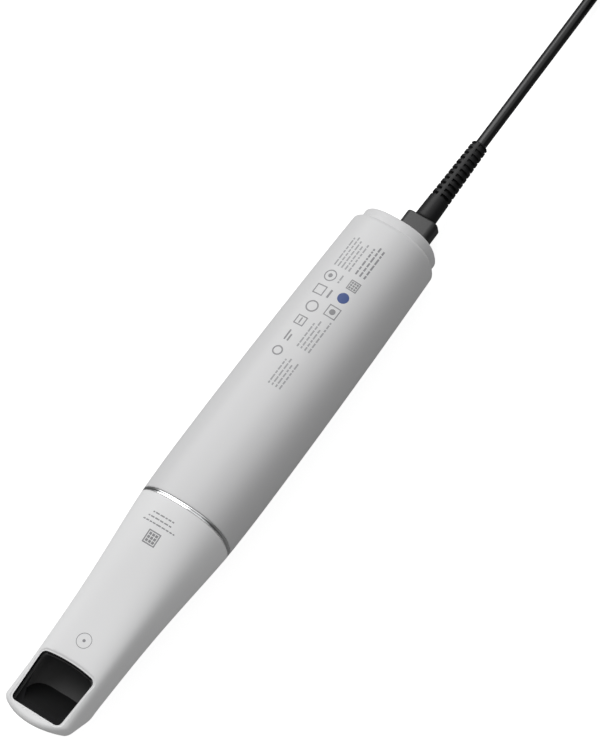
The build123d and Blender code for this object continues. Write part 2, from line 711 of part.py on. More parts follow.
projector_x = MOUNT_X - PROJECTOR_OVERHANG
camera_x = MOUNT_X - CAMERA_OVERHANG
projector_bore = PROJECTOR_DIAMETER - 2 * PROJECTOR_WALL
camera_bore = CAMERA_DIAMETER - 2 * CAMERA_WALL
projector_barrel = barrel(projector_x, 0, BOX_X - projector_x, PROJECTOR_DIAMETER, PROJECTOR_WALL)
projector_lens = lens(projector_x + LENS_SETBACK, 0, projector_bore - 2 * FIT, LENS_THICKNESS)
camera_length = MOUNT_END_X - camera_x
camera_barrel_left = barrel(camera_x, CAMERA_OFFSET, camera_length, CAMERA_DIAMETER, CAMERA_WALL)
camera_barrel_right = barrel(camera_x, -CAMERA_OFFSET, camera_length, CAMERA_DIAMETER, CAMERA_WALL)
lens_x = camera_x + LENS_SETBACK
camera_lens_left = lens(lens_x, CAMERA_OFFSET, camera_bore - 2 * FIT, LENS_THICKNESS)
camera_lens_right = lens(lens_x, -CAMERA_OFFSET, camera_bore - 2 * FIT, LENS_THICKNESS)
sensor_size = (SENSOR_DEPTH, SENSOR_SIZE, SENSOR_SIZE)
sensor_x = MOUNT_END_X + SENSOR_DEPTH / 2
camera_sensor_left = slab((sensor_x, CAMERA_OFFSET, LENS_Z), sensor_size)
camera_sensor_right = slab((sensor_x, -CAMERA_OFFSET, LENS_Z), sensor_size)
board_x = MOUNT_END_X + SENSOR_DEPTH + SENSOR_BOARD / 2
sensor_board_size = (SENSOR_BOARD, SENSOR_SIZE, SENSOR_SIZE + BOX_WALL)
camera_board_left = slab((board_x, CAMERA_OFFSET, LENS_Z), sensor_board_size)
camera_board_right = slab((board_x, -CAMERA_OFFSET, LENS_Z), sensor_board_size)

room_width = BOX_WIDTH - 2 * BOX_WALL
room_height = BOX_HEIGHT - 2 * BOX_WALL
box_plane = Plane((BOX_X, 0, BOX_Z), x_dir=(0, 1, 0), z_dir=(1, 0, 0))

# Box behind the projector lens, open at the back
with BuildPart() as projector_box:
    with BuildSketch(box_plane):
        Rectangle(BOX_WIDTH, BOX_HEIGHT)
    extrude(amount=BOX_LENGTH)
    with BuildSketch(box_plane.offset(BOX_WALL)):
        Rectangle(room_width, room_height)
    extrude(amount=BOX_LENGTH - BOX_WALL, mode=Mode.SUBTRACT)
    with BuildSketch(Plane((BOX_X, 0, LENS_Z), x_dir=(0, 1, 0), z_dir=(1, 0, 0))):
        Circle(projector_bore / 2)
    extrude(amount=BOX_WALL, mode=Mode.SUBTRACT)

slide_x = BOX_X + BOX_WALL + SLIDE_THICKNESS / 2
pattern_slide = slab((slide_x, 0, BOX_Z), (SLIDE_THICKNESS, room_width - 2 * FIT, room_height - 2 * FIT))

# Condenser lens between the light source and the pattern
with BuildPart() as condenser_lens:
    with BuildSketch(box_plane.offset(CONDENSER_SETBACK)):
        Circle(room_height / 2 - FIT)
    extrude(amount=CONDENSER_THICKNESS)
    fillet(condenser_lens.edges().group_by(Axis.X)[0], CONDENSER_ROUND)

# Light source board that closes the projector box
with BuildPart() as light_board:
    with BuildSketch(box_plane.offset(BOX_LENGTH)):
        Rectangle(BOX_WIDTH, BOX_HEIGHT)
    extrude(amount=LED_BOARD)
    with BuildSketch(box_plane.offset(BOX_LENGTH)):
        Rectangle(LED_SIZE, LED_SIZE)
    extrude(amount=-LED_HEIGHT)

# Finned heat sink behind the light source
with BuildPart() as heat_sink:
    with BuildSketch(box_plane.offset(BOX_LENGTH + LED_BOARD)):
        Rectangle(BOX_WIDTH, BOX_HEIGHT)
    extrude(amount=SINK_BASE)
    with BuildSketch(box_plane.offset(BOX_LENGTH + LED_BOARD + SINK_BASE)):
        with GridLocations((BOX_WIDTH - SINK_FIN) / (SINK_FINS - 1), 0, SINK_FINS, 1):
            Rectangle(SINK_FIN, BOX_HEIGHT)
    extrude(amount=SINK_LENGTH - SINK_BASE)

# Main board under the bench
with BuildPart() as main_board:
    with Locations((BOARD_X, 0, BOARD_BOTTOM + BOARD_THICKNESS / 2)):
        Box(BOARD_LENGTH, BOARD_WIDTH, BOARD_THICKNESS)
    for place in board_screw_places:
        with BuildSketch(place):
            Circle(SCREW_DIAMETER / 2 + FIT)
        extrude(amount=BOARD_THICKNESS, mode=Mode.SUBTRACT)

processor_area = (PROCESSOR_SIZE, PROCESSOR_SIZE)
processor = slab((BOARD_X, 0, BOARD_BOTTOM - PROCESSOR_HEIGHT / 2), (*processor_area, PROCESSOR_HEIGHT))
thermal_pad = slab((BOARD_X, 0, PAD_BOTTOM + PAD_THICKNESS / 2), (*processor_area, PAD_THICKNESS))
heat_block_height = PAD_BOTTOM - INNER_LAND
heat_block = slab((BOARD_X, 0, INNER_LAND + heat_block_height / 2), (*processor_area, heat_block_height))

# Memory chips on the upper side of the main board
with BuildPart() as memory_chips:
    with Locations((BOARD_X, 0, BOARD_TOP + MEMORY_SIZE[2] / 2)):
        with GridLocations(MEMORY_SPACING, 0, 2, 1):
            Box(*MEMORY_SIZE)

cap_outline = section(HOUSING_END_X, CAP_INSET)
cap_room = section(HOUSING_END_X, CAP_INSET + CAP_WALL)
gasket_x = CAP_FRONT_X + GASKET_BEHIND
gasket_groove_tool = band(HOUSING_END_X, GASKET_WIDTH, 0, CAP_INSET + GASKET_DEPTH)
gasket_ring = band(HOUSING_END_X, GASKET_WIDTH - 2 * FIT, CAP_INSET - FIT, CAP_INSET + GASKET_DEPTH - FIT)
plug_plane = Plane((CAP_END_X, 0, PLUG_Z), x_dir=(0, 1, 0), z_dir=(1, 0, 0))
socket_hole = [size + 2 * SLIDE_CLEARANCE for size in TONGUE_SIZE]
io_screw_places = [
    Plane((IO_X, y, AXIS_Z + IO_BOSS_RISE), x_dir=(0, 1, 0), z_dir=(1, 0, 0))
    for y in (-IO_BOSS_OFFSET, IO_BOSS_OFFSET)
]
cap_front = Location((CAP_FRONT_X - HOUSING_END_X, 0, 0))
groove_place = Location((gasket_x - HOUSING_END_X, 0, 0))

# Rear cap set into the housing, with the cable socket's opening
with BuildPart() as rear_cap:
    extrude(to_extrude=cap_front * cap_outline, amount=CAP_END_X - CAP_FRONT_X)
    fillet(rear_cap.edges().group_by(Axis.X)[-1], CAP_ROUND)
    extrude(to_extrude=cap_front * cap_room, amount=CAP_INNER_X - CAP_FRONT_X, mode=Mode.SUBTRACT)
    add(groove_place * gasket_groove_tool, mode=Mode.SUBTRACT)
    with BuildSketch(plug_plane):
        RectangleRounded(*socket_hole, TONGUE_ROUND)
    extrude(amount=-CAP_END_WALL, mode=Mode.SUBTRACT)
    for place in io_screw_places:
        with BuildSketch(place.offset(IO_BOARD[2])):
            Circle(BOSS_DIAMETER / 2)
        extrude(amount=CAP_INNER_X - IO_END_X)
        with BuildSketch(place):
            Circle(SCREW_DIAMETER / 2 + FIT)
        extrude(amount=SCREW_LENGTH + FIT, mode=Mode.SUBTRACT)

# Gasket in the cap's groove
with BuildPart() as cap_gasket:
    add(Location((gasket_x + FIT - HOUSING_END_X, 0, 0)) * gasket_ring)

io_top = AXIS_Z + IO_BOSS_RISE + BOSS_DIAMETER / 2

# Socket board across the rear, screwed to the cap's bosses
with BuildPart() as socket_board:
    with Locations((IO_X + IO_BOARD[2] / 2, 0, io_top - IO_BOARD[1] / 2)):
        Box(IO_BOARD[2], IO_BOARD[0], IO_BOARD[1])
    for place in io_screw_places:
        with BuildSketch(place):
            Circle(SCREW_DIAMETER / 2 + FIT)
        extrude(amount=IO_BOARD[2], mode=Mode.SUBTRACT)

socket_screws = screws(io_screw_places)

# Cable socket between its board and the cap's end wall
with BuildPart() as cable_socket:
    with BuildSketch(plug_plane.offset(-CAP_END_WALL)):
        RectangleRounded(socket_hole[0] + 2 * SOCKET_WALL, socket_hole[1] + 2 * SOCKET_WALL, TONGUE_ROUND)
    extrude(amount=IO_END_X - CAP_INNER_X)
    with BuildSketch(plug_plane.offset(-CAP_END_WALL)):
        RectangleRounded(*socket_hole, TONGUE_ROUND)
    extrude(amount=SOCKET_WALL + IO_END_X - CAP_INNER_X, mode=Mode.SUBTRACT)

# Moulded plug block behind the cap
with BuildPart() as cable_plug:
    with BuildSketch(plug_plane.offset(PLUG_GAP)):
        RectangleRounded(*PLUG_SIZE, PLUG_CORNER)
    extrude(amount=PLUG_LENGTH)
    fillet(cable_plug.edges().group_by(Axis.X)[-1], PLUG_EDGE)

# Metal tongue of the plug, inside the socket
with BuildPart() as plug_tongue:
    with BuildSketch(plug_plane.offset(PLUG_GAP)):
        RectangleRounded(*TONGUE_SIZE, TONGUE_ROUND)
    extrude(amount=-TONGUE_LENGTH)

boot_plane = Plane((BOOT_X, 0, PLUG_Z), x_dir=(0, 1, 0), z_dir=(1, 0, 0))

# Strain relief: a cone with a row of slots in each flank, and a spine left above and below
with BuildPart() as strain_relief:
    with BuildSketch(boot_plane):
        Circle(BOOT_FRONT / 2)
    with BuildSketch(boot_plane.offset(BOOT_LENGTH)):
        Circle(BOOT_REAR / 2)
    loft()
    for slot in range(SLOT_COUNT):
        with BuildSketch(boot_plane.offset(SLOT_START + slot * SLOT_PITCH)):
            Circle(BOOT_FRONT)
            Circle(BOOT_CORE / 2, mode=Mode.SUBTRACT)
            Rectangle(SPINE_WIDTH, 2 * BOOT_FRONT, mode=Mode.SUBTRACT)
        extrude(amount=SLOT_WIDTH, mode=Mode.SUBTRACT)

cord = lead(CORD_ROUTE)
cord_tail = lead(tail_route())

coil_axis = Axis((COIL_X, COIL_Y, 0), (0, 0, 1))
tie_plane = Plane((COIL_X, COIL_Y, COIL_BASE + COIL_HEIGHT / 2), x_dir=(1, 0, 0), z_dir=(0, -1, 0))

# Outer shape of the neat coil that holds the rest of the lead
with BuildPart() as cord_coil:
    with BuildSketch(tie_plane):
        with Locations((COIL_MIDDLE / 2, 0)):
            RectangleRounded(COIL_WIDTH, COIL_HEIGHT, CORD_DIAMETER / 2)
    revolve(axis=coil_axis)

# Strap round the coil's bundle
with BuildPart() as cord_tie:
    with BuildSketch(tie_plane):
        with Locations((COIL_MIDDLE / 2, 0)):
            strap = 2 * TIE_THICKNESS
            RectangleRounded(COIL_WIDTH + strap, COIL_HEIGHT + strap, CORD_DIAMETER / 2 + TIE_THICKNESS)
            RectangleRounded(COIL_WIDTH, COIL_HEIGHT, CORD_DIAMETER / 2, mode=Mode.SUBTRACT)
    revolve(axis=coil_axis, revolution_arc=TIE_ARC)

neck_plane = Plane(tail_route()[0], x_dir=(0, 1, 0), z_dir=(1, 0, 0))
body_plane = neck_plane.offset(NECK_LENGTH)
shell_plane = body_plane.offset(CONNECTOR_LENGTH)

# Moulded body of the host connector, lying on the coil, with a tapered neck for the lead
with BuildPart() as connector_body:
    with BuildSketch(neck_plane):
        Circle(CORD_DIAMETER / 2)
    with BuildSketch(body_plane):
        Circle(NECK_DIAMETER / 2)
    loft()
    with BuildSketch(body_plane):
        RectangleRounded(*CONNECTOR_SIZE, CONNECTOR_CORNER)
    extrude(amount=CONNECTOR_LENGTH)

# Metal shell of the host connector, open at its end
with BuildPart() as connector_shell:
    with BuildSketch(shell_plane):
        RectangleRounded(*SHELL_SIZE, SHELL_CORNER)
    extrude(amount=SHELL_LENGTH)
    with BuildSketch(shell_plane.offset(SHELL_WALL)):
        RectangleRounded(
            SHELL_SIZE[0] - 2 * SHELL_WALL, SHELL_SIZE[1] - 2 * SHELL_WALL, SHELL_CORNER - SHELL_WALL
        )
    extrude(amount=SHELL_LENGTH - SHELL_WALL, mode=Mode.SUBTRACT)

pieces = {
    "tip_shell": tip_shell,
    "tip_liner": tip_liner,
    "tip_mirror": tip_mirror,
    "front_ring": front_ring,
    "snout": snout,
    "snout_glass": snout_glass,
    "snout_seal": snout_seal,
    "housing": housing,
    "optical_bench": optical_bench,
    "bench_screws": bench_screws,
    "lens_mount": lens_mount,
    "projector_barrel": projector_barrel,
    "projector_lens": projector_lens,
    "projector_box": projector_box,
    "pattern_slide": pattern_slide,
    "condenser_lens": condenser_lens,
    "light_board": light_board,
    "heat_sink": heat_sink,
    "camera_barrel_left": camera_barrel_left,
    "camera_barrel_right": camera_barrel_right,
    "camera_lens_left": camera_lens_left,
    "camera_lens_right": camera_lens_right,
    "camera_sensor_left": camera_sensor_left,
    "camera_sensor_right": camera_sensor_right,
    "camera_board_left": camera_board_left,
    "camera_board_right": camera_board_right,
    "main_board": main_board,
    "processor": processor,
    "thermal_pad": thermal_pad,
    "heat_block": heat_block,
    "memory_chips": memory_chips,
    "board_screws": board_screws,
    "button_light": button_light,
    "scan_button": scan_button,
    "button_switch": button_switch,
    "button_board": button_board,
    "rear_cap": rear_cap,
    "cap_gasket": cap_gasket,
    "cable_socket": cable_socket,
    "socket_board": socket_board,
    "socket_screws": socket_screws,
    "cable_plug": cable_plug,
    "plug_tongue": plug_tongue,
    "strain_relief": strain_relief,
    "cord": cord,
    "cord_coil": cord_coil,
    "cord_tie": cord_tie,
    "cord_tail": cord_tail,
    "connector_body": connector_body,
    "connector_shell": connector_shell,
}
os.makedirs("parts", exist_ok=True)
for name, piece in pieces.items():
    piece.part.label = name
    export_step(piece.part, f"parts/{name}.step")
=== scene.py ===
# %% [markdown]
# # A hand-held intraoral scanner
#
# The scanner lies on its back with its scan window up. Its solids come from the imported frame, and this
# lesson dresses them: smooth shells that follow the same formula as the solids, finishes built from one
# shared node group, the lead as one smooth curve, and a plain white studio.

# %% Load the frame
import json
from math import cos, pi, radians, sin, tan

import bmesh
import bpy
import numpy as np
from mathutils import Matrix, Vector


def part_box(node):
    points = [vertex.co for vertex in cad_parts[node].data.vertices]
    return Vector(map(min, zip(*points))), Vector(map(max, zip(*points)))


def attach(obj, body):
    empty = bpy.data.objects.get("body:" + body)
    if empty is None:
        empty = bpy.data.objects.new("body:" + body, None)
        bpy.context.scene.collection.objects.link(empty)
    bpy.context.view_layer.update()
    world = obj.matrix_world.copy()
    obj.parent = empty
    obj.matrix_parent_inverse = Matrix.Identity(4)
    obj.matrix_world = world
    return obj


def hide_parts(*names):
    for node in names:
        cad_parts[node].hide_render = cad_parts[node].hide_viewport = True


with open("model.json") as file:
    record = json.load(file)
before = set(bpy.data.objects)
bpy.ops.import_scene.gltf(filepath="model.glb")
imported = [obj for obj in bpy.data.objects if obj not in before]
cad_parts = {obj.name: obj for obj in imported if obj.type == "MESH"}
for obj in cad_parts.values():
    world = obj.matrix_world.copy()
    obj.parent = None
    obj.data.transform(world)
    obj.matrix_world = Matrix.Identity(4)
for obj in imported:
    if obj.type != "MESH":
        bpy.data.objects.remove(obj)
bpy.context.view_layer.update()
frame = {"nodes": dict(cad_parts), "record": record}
nodes = frame["nodes"]
MM = 0.001

# %% [markdown]
# ## The camera
#
# The picture looks down on the scanner from a little beyond its nose and its near flank, from far away, so
# lines hardly converge. A camera is three directions and a place: it is simplest to write the direction
# towards the viewer, turn the picture so that the barrel climbs to the upper right, and fill the matrix.

# %% Camera
VIEW_TILT = radians(21.1)
VIEW_LEAN = radians(17.86)
VIEW_ROLL = radians(53.0)
VIEW_DISTANCE = 1.514
VIEW_AIM = np.array((47.55, 0.22, 16.35)) * MM
VIEW_REACH = 20.0
FRAME_HEIGHT = 740
FOCAL_PIXELS = 4452
SENSOR = 36.0

towards = np.array((-sin(VIEW_LEAN), -cos(VIEW_LEAN) * sin(VIEW_TILT), cos(VIEW_LEAN) * cos(VIEW_TILT)))
along = np.array((1.0, 0.0, 0.0)) - towards[0] * towards
along /= np.linalg.norm(along)
across = np.cross(-towards, along)
picture_right = cos(VIEW_ROLL) * along + sin(VIEW_ROLL) * across
picture_up = sin(VIEW_ROLL) * along - cos(VIEW_ROLL) * across

camera_data = bpy.data.cameras.new("camera")
camera_data.sensor_width = SENSOR
camera_data.lens = SENSOR * FOCAL_PIXELS / FRAME_HEIGHT
camera_data.clip_end = VIEW_REACH
camera = bpy.data.objects.new("camera", camera_data)
bpy.context.scene.collection.objects.link(camera)
turned = np.eye(4)
turned[:3, :3] = np.stack((picture_right, picture_up, towards), axis=1)
turned[:3, 3] = VIEW_AIM + VIEW_DISTANCE * towards
camera.matrix_world = Matrix(turned.tolist())
bpy.context.scene.camera = camera
print("camera lens", round(camera_data.lens, 1), "mm at", np.round(turned[:3, 3], 3).tolist())

# %% [markdown]
# ## Finishes
#
# Moulded plastic is never one flat colour: the tool leaves a fine grain, and the gloss and tone drift a
# little across a part. Painting that by hand into an image would fix its scale, so it is worked out from
# Object coordinates instead, in one node group that every finish places with its own values.

# %% Node group: moulded grain
BROAD_DETAIL, FINE_DETAIL = 2.0, 3.0
NOISE_MEAN = 0.5


def grain_group():
    """Group that turns a colour and a roughness into ones that drift: a broad noise moves the tone, a fine
    noise moves the roughness and gives a height for a bump."""
    group = bpy.data.node_groups.new("moulded grain", "ShaderNodeTree")
    face = group.interface
    face.new_socket("Vector", in_out="INPUT", socket_type="NodeSocketVector")
    face.new_socket("Color", in_out="INPUT", socket_type="NodeSocketColor")
    for name in ("Roughness", "Roughness Drift", "Tone Drift", "Grain Scale", "Drift Scale"):
        face.new_socket(name, in_out="INPUT", socket_type="NodeSocketFloat")
    face.new_socket("Color", in_out="OUTPUT", socket_type="NodeSocketColor")
    face.new_socket("Roughness", in_out="OUTPUT", socket_type="NodeSocketFloat")
    face.new_socket("Height", in_out="OUTPUT", socket_type="NodeSocketFloat")
    made, link = group.nodes, group.links.new
    given, result = made.new("NodeGroupInput"), made.new("NodeGroupOutput")

    broad = made.new("ShaderNodeTexNoise")
    broad.inputs["Detail"].default_value = BROAD_DETAIL
    link(given.outputs["Vector"], broad.inputs["Vector"])
    link(given.outputs["Drift Scale"], broad.inputs["Scale"])
    fine = made.new("ShaderNodeTexNoise")
    fine.inputs["Detail"].default_value = FINE_DETAIL
    link(given.outputs["Vector"], fine.inputs["Vector"])
    link(given.outputs["Grain Scale"], fine.inputs["Scale"])

    swing = made.new("ShaderNodeMath")
    swing.operation = "SUBTRACT"
    swing.inputs[1].default_value = NOISE_MEAN
    link(broad.outputs["Fac"], swing.inputs[0])
    tone = made.new("ShaderNodeMath")
    tone.operation = "MULTIPLY_ADD"
    tone.inputs[2].default_value = 1.0
    link(swing.outputs[0], tone.inputs[0])
    link(given.outputs["Tone Drift"], tone.inputs[1])
    tinted = made.new("ShaderNodeVectorMath")
    tinted.operation = "SCALE"
    link(given.outputs["Color"], tinted.inputs[0])
    link(tone.outputs[0], tinted.inputs["Scale"])

    polish = made.new("ShaderNodeMath")
    polish.operation = "MULTIPLY_ADD"
    link(fine.outputs["Fac"], polish.inputs[0])
    link(given.outputs["Roughness Drift"], polish.inputs[1])
    link(given.outputs["Roughness"], polish.inputs[2])

    link(tinted.outputs[0], result.inputs["Color"])
    link(polish.outputs[0], result.inputs["Roughness"])
    link(fine.outputs["Fac"], result.inputs["Height"])
    return group


moulded_grain = grain_group()
print("node group", moulded_grain.name, "with", len(moulded_grain.nodes), "nodes")


# %% Finish helper
def finish_of(name, color, roughness, drift=0.05, tone=0.03, grain=9000.0, broad=30.0, bump=0.04, depth=0.02,
              metallic=0.0, specular=0.5, transmission=0.0, sheen=0.0, chalk=0.0):
    """A finish: one Principled shader fed by the moulded grain, with the fixed values on its own sockets.
    drift and tone say how far the roughness and the colour wander, grain and broad how often, bump and depth
    how high the grain stands, in millimetres, and chalk how evenly a matt pigment scatters the light."""
    material = bpy.data.materials.new(name)
    material.use_nodes = True
    made, link = material.node_tree.nodes, material.node_tree.links.new
    shader = made["Principled BSDF"]
    place = made.new("ShaderNodeTexCoord")
    surface = made.new("ShaderNodeGroup")
    surface.node_tree = moulded_grain
    surface.inputs["Color"].default_value = (*color, 1.0)
    surface.inputs["Roughness"].default_value = roughness - drift / 2
    surface.inputs["Roughness Drift"].default_value = drift
    surface.inputs["Tone Drift"].default_value = tone
    surface.inputs["Grain Scale"].default_value = grain
    surface.inputs["Drift Scale"].default_value = broad
    relief = made.new("ShaderNodeBump")
    relief.inputs["Strength"].default_value = bump
    relief.inputs["Distance"].default_value = depth * MM
    link(place.outputs["Object"], surface.inputs["Vector"])
    link(surface.outputs["Color"], shader.inputs["Base Color"])
    link(surface.outputs["Roughness"], shader.inputs["Roughness"])
    link(surface.outputs["Height"], relief.inputs["Height"])
    link(relief.outputs["Normal"], shader.inputs["Normal"])
    shader.inputs["Metallic"].default_value = metallic
    shader.inputs["Specular IOR Level"].default_value = specular
    shader.inputs["Transmission Weight"].default_value = transmission
    shader.inputs["Sheen Weight"].default_value = sheen
    shader.inputs["Diffuse Roughness"].default_value = chalk
    return material


# %% Finishes of the record's slots
finishes = {
    "tip_white": finish_of("tip white", (0.92, 0.921, 0.924), 0.42, tone=0.015, sheen=0.5, chalk=1.0),
    "liner_black": finish_of("liner black", (0.12, 0.12, 0.121), 0.85, specular=0.1, bump=0.1),
    "tip_mirror_glass": finish_of("dark mirror", (0.015, 0.015, 0.0155), 0.3, drift=0.02, bump=0.0),
    "ring_polished": finish_of("polished ring", (0.8, 0.805, 0.81), 0.1, drift=0.04, metallic=1.0, bump=0.01),
    "snout_metal": finish_of("blasted metal", (0.6, 0.61, 0.63), 0.42, metallic=1.0, bump=0.15),
    "clear_glass": finish_of("lens glass", (0.93, 0.97, 0.98), 0.03, drift=0.01, transmission=1.0, bump=0.0),
    "seal_rubber": finish_of("seal rubber", (0.03, 0.03, 0.03), 0.55, bump=0.1),
    "body_pearl": finish_of("body pearl", (0.745, 0.745, 0.75), 0.4, tone=0.012, chalk=0.5),
    "cap_grey": finish_of("cap grey", (0.745, 0.745, 0.75), 0.42, tone=0.012, chalk=0.5),
    "bench_metal": finish_of("milled metal", (0.62, 0.63, 0.65), 0.36, metallic=1.0, bump=0.12),
    # Black anodised on the inner parts; also painted shade on the up-facing faces inside the window.
    "optics_black": finish_of("black anodised", (0.014, 0.014, 0.015), 0.8, specular=0.1, bump=0.1),
    "board_green": finish_of("solder mask", (0.02, 0.13, 0.06), 0.35, tone=0.2, broad=120.0),
    "chip_black": finish_of("chip moulding", (0.03, 0.03, 0.032), 0.5, bump=0.1),
    "pad_grey": finish_of("thermal pad", (0.35, 0.36, 0.4), 0.8, bump=0.2),
    "screw_steel": finish_of("plated screws", (0.55, 0.55, 0.57), 0.3, metallic=1.0),
    "light_ring": finish_of("frosted light ring", (0.85, 0.9, 0.93), 0.35, transmission=0.3),
    "button_grey": finish_of("soft-touch button", (0.28, 0.29, 0.31), 0.6, bump=0.1),
    "socket_steel": finish_of("plated socket", (0.6, 0.6, 0.62), 0.28, metallic=1.0),
    "plug_black": finish_of(
        "plug moulding", (0.015, 0.015, 0.0155), 0.42, tone=0.06, bump=0.2, specular=0.45
    ),
    "boot_black": finish_of(
        "boot rubber", (0.009, 0.009, 0.0095), 0.45, tone=0.06, bump=0.15, specular=0.26
    ),
    "cord_black": finish_of(
        "lead sheath", (0.005, 0.005, 0.0055), 0.26, tone=0.08, bump=0.06, specular=0.45
    ),
    "tie_black": finish_of(
        "woven strap", (0.022, 0.022, 0.024), 0.8, grain=3000.0, bump=0.6, depth=0.1, sheen=0.3
    ),
}
for row in frame["record"]["subparts"]:
    for holder in nodes[row["node"]].material_slots:
        holder.material = finishes[row["material_slot"]]
print("finishes", len(finishes))

# %% [markdown]
# ## One formula for the whole outside
#
# Tip, ring and barrel share one skin: a squarish oval whose width and heights change along the scanner.
# The solids loft it through a few sections. Here it is worked out for whole arrays of points at once, so
# every shell can be as fine as its highlights need. A superellipse in polar form,
# r = (|cos a|^p + |sin a|^p)^(-1/p), spaces its points evenly round the corners.

# %% The outer form
nose_x, ring_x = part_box("tip_shell")[0].x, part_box("front_ring")[0].x
housing_x, housing_end_x = (corner.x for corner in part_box("housing"))
cap_front_x, cap_end_x = (corner.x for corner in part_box("rear_cap"))
AXIS_Z = 16.35 * MM
RING_SIZE = np.array((35.2 / 2, 16.5, 16.3)) * MM
CROWN_SIZE = np.array((36.1 / 2, 16.9, 16.75)) * MM
REAR_SIZE = np.array((32.7 / 2, 16.2, 16.3)) * MM
HEAD_SIZE = np.array((25.9 / 2, 7.0, 8.9)) * MM
SECTION_POWER, HEAD_POWER = 2.46, 5.6
CROWN_BEHIND_RING = 24.0 * MM
FLARE_LENGTH = 70.0 * MM
FLARE_KEPT, FLARE_EASED, BELLY_FULLNESS = 0.6, 0.8, 0.9
FLARE_WAIST = 0.3 * MM
AROUND = 256
turns = np.linspace(0, 2 * pi, AROUND, endpoint=False)


def form_sizes(x):
    """Half width, rise to the belly, drop to the back and squareness at each x. On the tip they fall from
    the ring's to the head's by an eased share, with a slight waist; on the barrel they follow parabolas
    about its crown."""
    ahead = np.clip((ring_x - x) / FLARE_LENGTH, 0, 1)
    ease = (1 + np.cos(pi * np.minimum(ahead / FLARE_EASED, 1))) / 2
    share = (1 - ahead) * (FLARE_KEPT + (1 - FLARE_KEPT) * ease)
    waist = FLARE_WAIST * 4 * share * (1 - share)
    grown = RING_SIZE - HEAD_SIZE
    behind = np.maximum(x - ring_x, 0)
    body = housing_end_x - ring_x
    from_crown = behind - CROWN_BEHIND_RING
    reach = np.where(from_crown < 0, CROWN_BEHIND_RING, body - CROWN_BEHIND_RING)
    fall = (from_crown / reach) ** 2
    end = np.where(np.asarray(from_crown)[..., None] < 0, RING_SIZE, REAR_SIZE)
    barrel = CROWN_SIZE + (end - CROWN_SIZE) * fall[..., None]
    barrel_back = CROWN_SIZE[2] + (RING_SIZE[2] - CROWN_SIZE[2]) * (2 * behind / body - 1) ** 2
    on_tip = x < ring_x
    half = np.where(on_tip, HEAD_SIZE[0] + grown[0] * share - waist, barrel[..., 0])
    belly = np.where(on_tip, HEAD_SIZE[1] + grown[1] * share**BELLY_FULLNESS, barrel[..., 1])
    back = np.where(on_tip, HEAD_SIZE[2] + grown[2] * share, barrel_back)
    power = np.where(on_tip, HEAD_POWER + (SECTION_POWER - HEAD_POWER) * np.sqrt(share), SECTION_POWER)
    return half, belly, back, power


def form_points(x, inset, turn):
    """Points of the outer form at stations x and angles turn, drawn in by inset: a superellipse with one
    height above the axis and another below it."""
    x, inset, turn = np.broadcast_arrays(x, inset, turn)
    half, belly, back, power = form_sizes(x)
    cosine, sine = np.cos(turn), np.sin(turn)
    reach = (np.abs(cosine) ** power + np.abs(sine) ** power) ** (-1 / power)
    height = np.where(sine >= 0, belly, back) - inset
    return np.stack((x, (half - inset) * cosine * reach, AXIS_Z + height * sine * reach), axis=-1)


def belly_height(x, y):
    """Height of the upper skin over (x, y): the superellipse solved for z."""
    half, belly, _, power = form_sizes(x)
    return AXIS_Z + belly * (1 - np.minimum(np.abs(y) / half, 1) ** power) ** (1 / power)


print("outer form from", round(nose_x / MM, 1), "to", round(cap_end_x / MM, 1), "mm")

# %% [markdown]
# ## Skins and cuts
#
# A skin is a grid of points: rows along the piece, columns round it. Numpy numbers the grid, and rolling
# that numbering by one gives every quad at once. Where a piece has an opening, a cutter of the opening's
# shape is taken out of it for good, so that no live boolean is left behind, and the cut mesh is welded,
# because a cut can leave slivers thinner than any print or tool could show.

# %% Skin and cut helpers
SHARP_ANGLE = radians(32)
WELD = 0.001 * MM


def grid_faces(rows, looped=False, capped=(False, False)):
    """Points and faces of a grid rows[i, j]: quads between neighbours, closed round j, and round i too where
    looped; a capped end is closed by a fan to its row's middle."""
    count, around = rows.shape[:2]
    index = np.arange(count * around).reshape(count, around)
    points = rows.reshape(-1, 3)
    near = index if looped else index[:-1]
    far = np.roll(index, -1, axis=0) if looped else index[1:]
    faces = [np.stack((near, np.roll(near, -1, 1), np.roll(far, -1, 1), far), axis=-1).reshape(-1, 4)]
    for end, row in ((0, index[0]), (1, index[-1][::-1])):
        if capped[end]:
            middle = np.full(around, len(points))
            points = np.vstack((points, points[row].mean(axis=0)))
            faces.append(np.stack((middle, np.roll(row, -1), row), axis=-1))
    return points, faces


def mesh_object(name, grids, material):
    """One smooth mesh object of several grids, filled straight from arrays."""
    points, faces, base = [], [], 0
    for grid_points, grid in grids:
        points.append(grid_points)
        faces += [part + base for part in grid]
        base += len(grid_points)
    points = np.concatenate(points)
    corners = np.concatenate([part.ravel() for part in faces])
    sizes = np.concatenate([np.full(len(part), part.shape[1]) for part in faces])
    mesh = bpy.data.meshes.new(name)
    mesh.vertices.add(len(points))
    mesh.vertices.foreach_set("co", points.astype(np.float32).ravel())
    mesh.loops.add(len(corners))
    mesh.loops.foreach_set("vertex_index", corners.astype(np.int32))
    mesh.polygons.add(len(sizes))
    mesh.polygons.foreach_set("loop_start", np.concatenate(([0], np.cumsum(sizes)[:-1])).astype(np.int32))
    mesh.update(calc_edges=True)
    mesh.shade_smooth()
    mesh.set_sharp_from_angle(angle=SHARP_ANGLE)
    mesh.materials.append(material)
    piece = bpy.data.objects.new(name, mesh)
    bpy.context.scene.collection.objects.link(piece)
    return piece


def skin(name, rows, material, looped=False, capped=(False, False)):
    """Mesh object of one grid."""
    return mesh_object(name, [grid_faces(rows, looped, capped)], material)


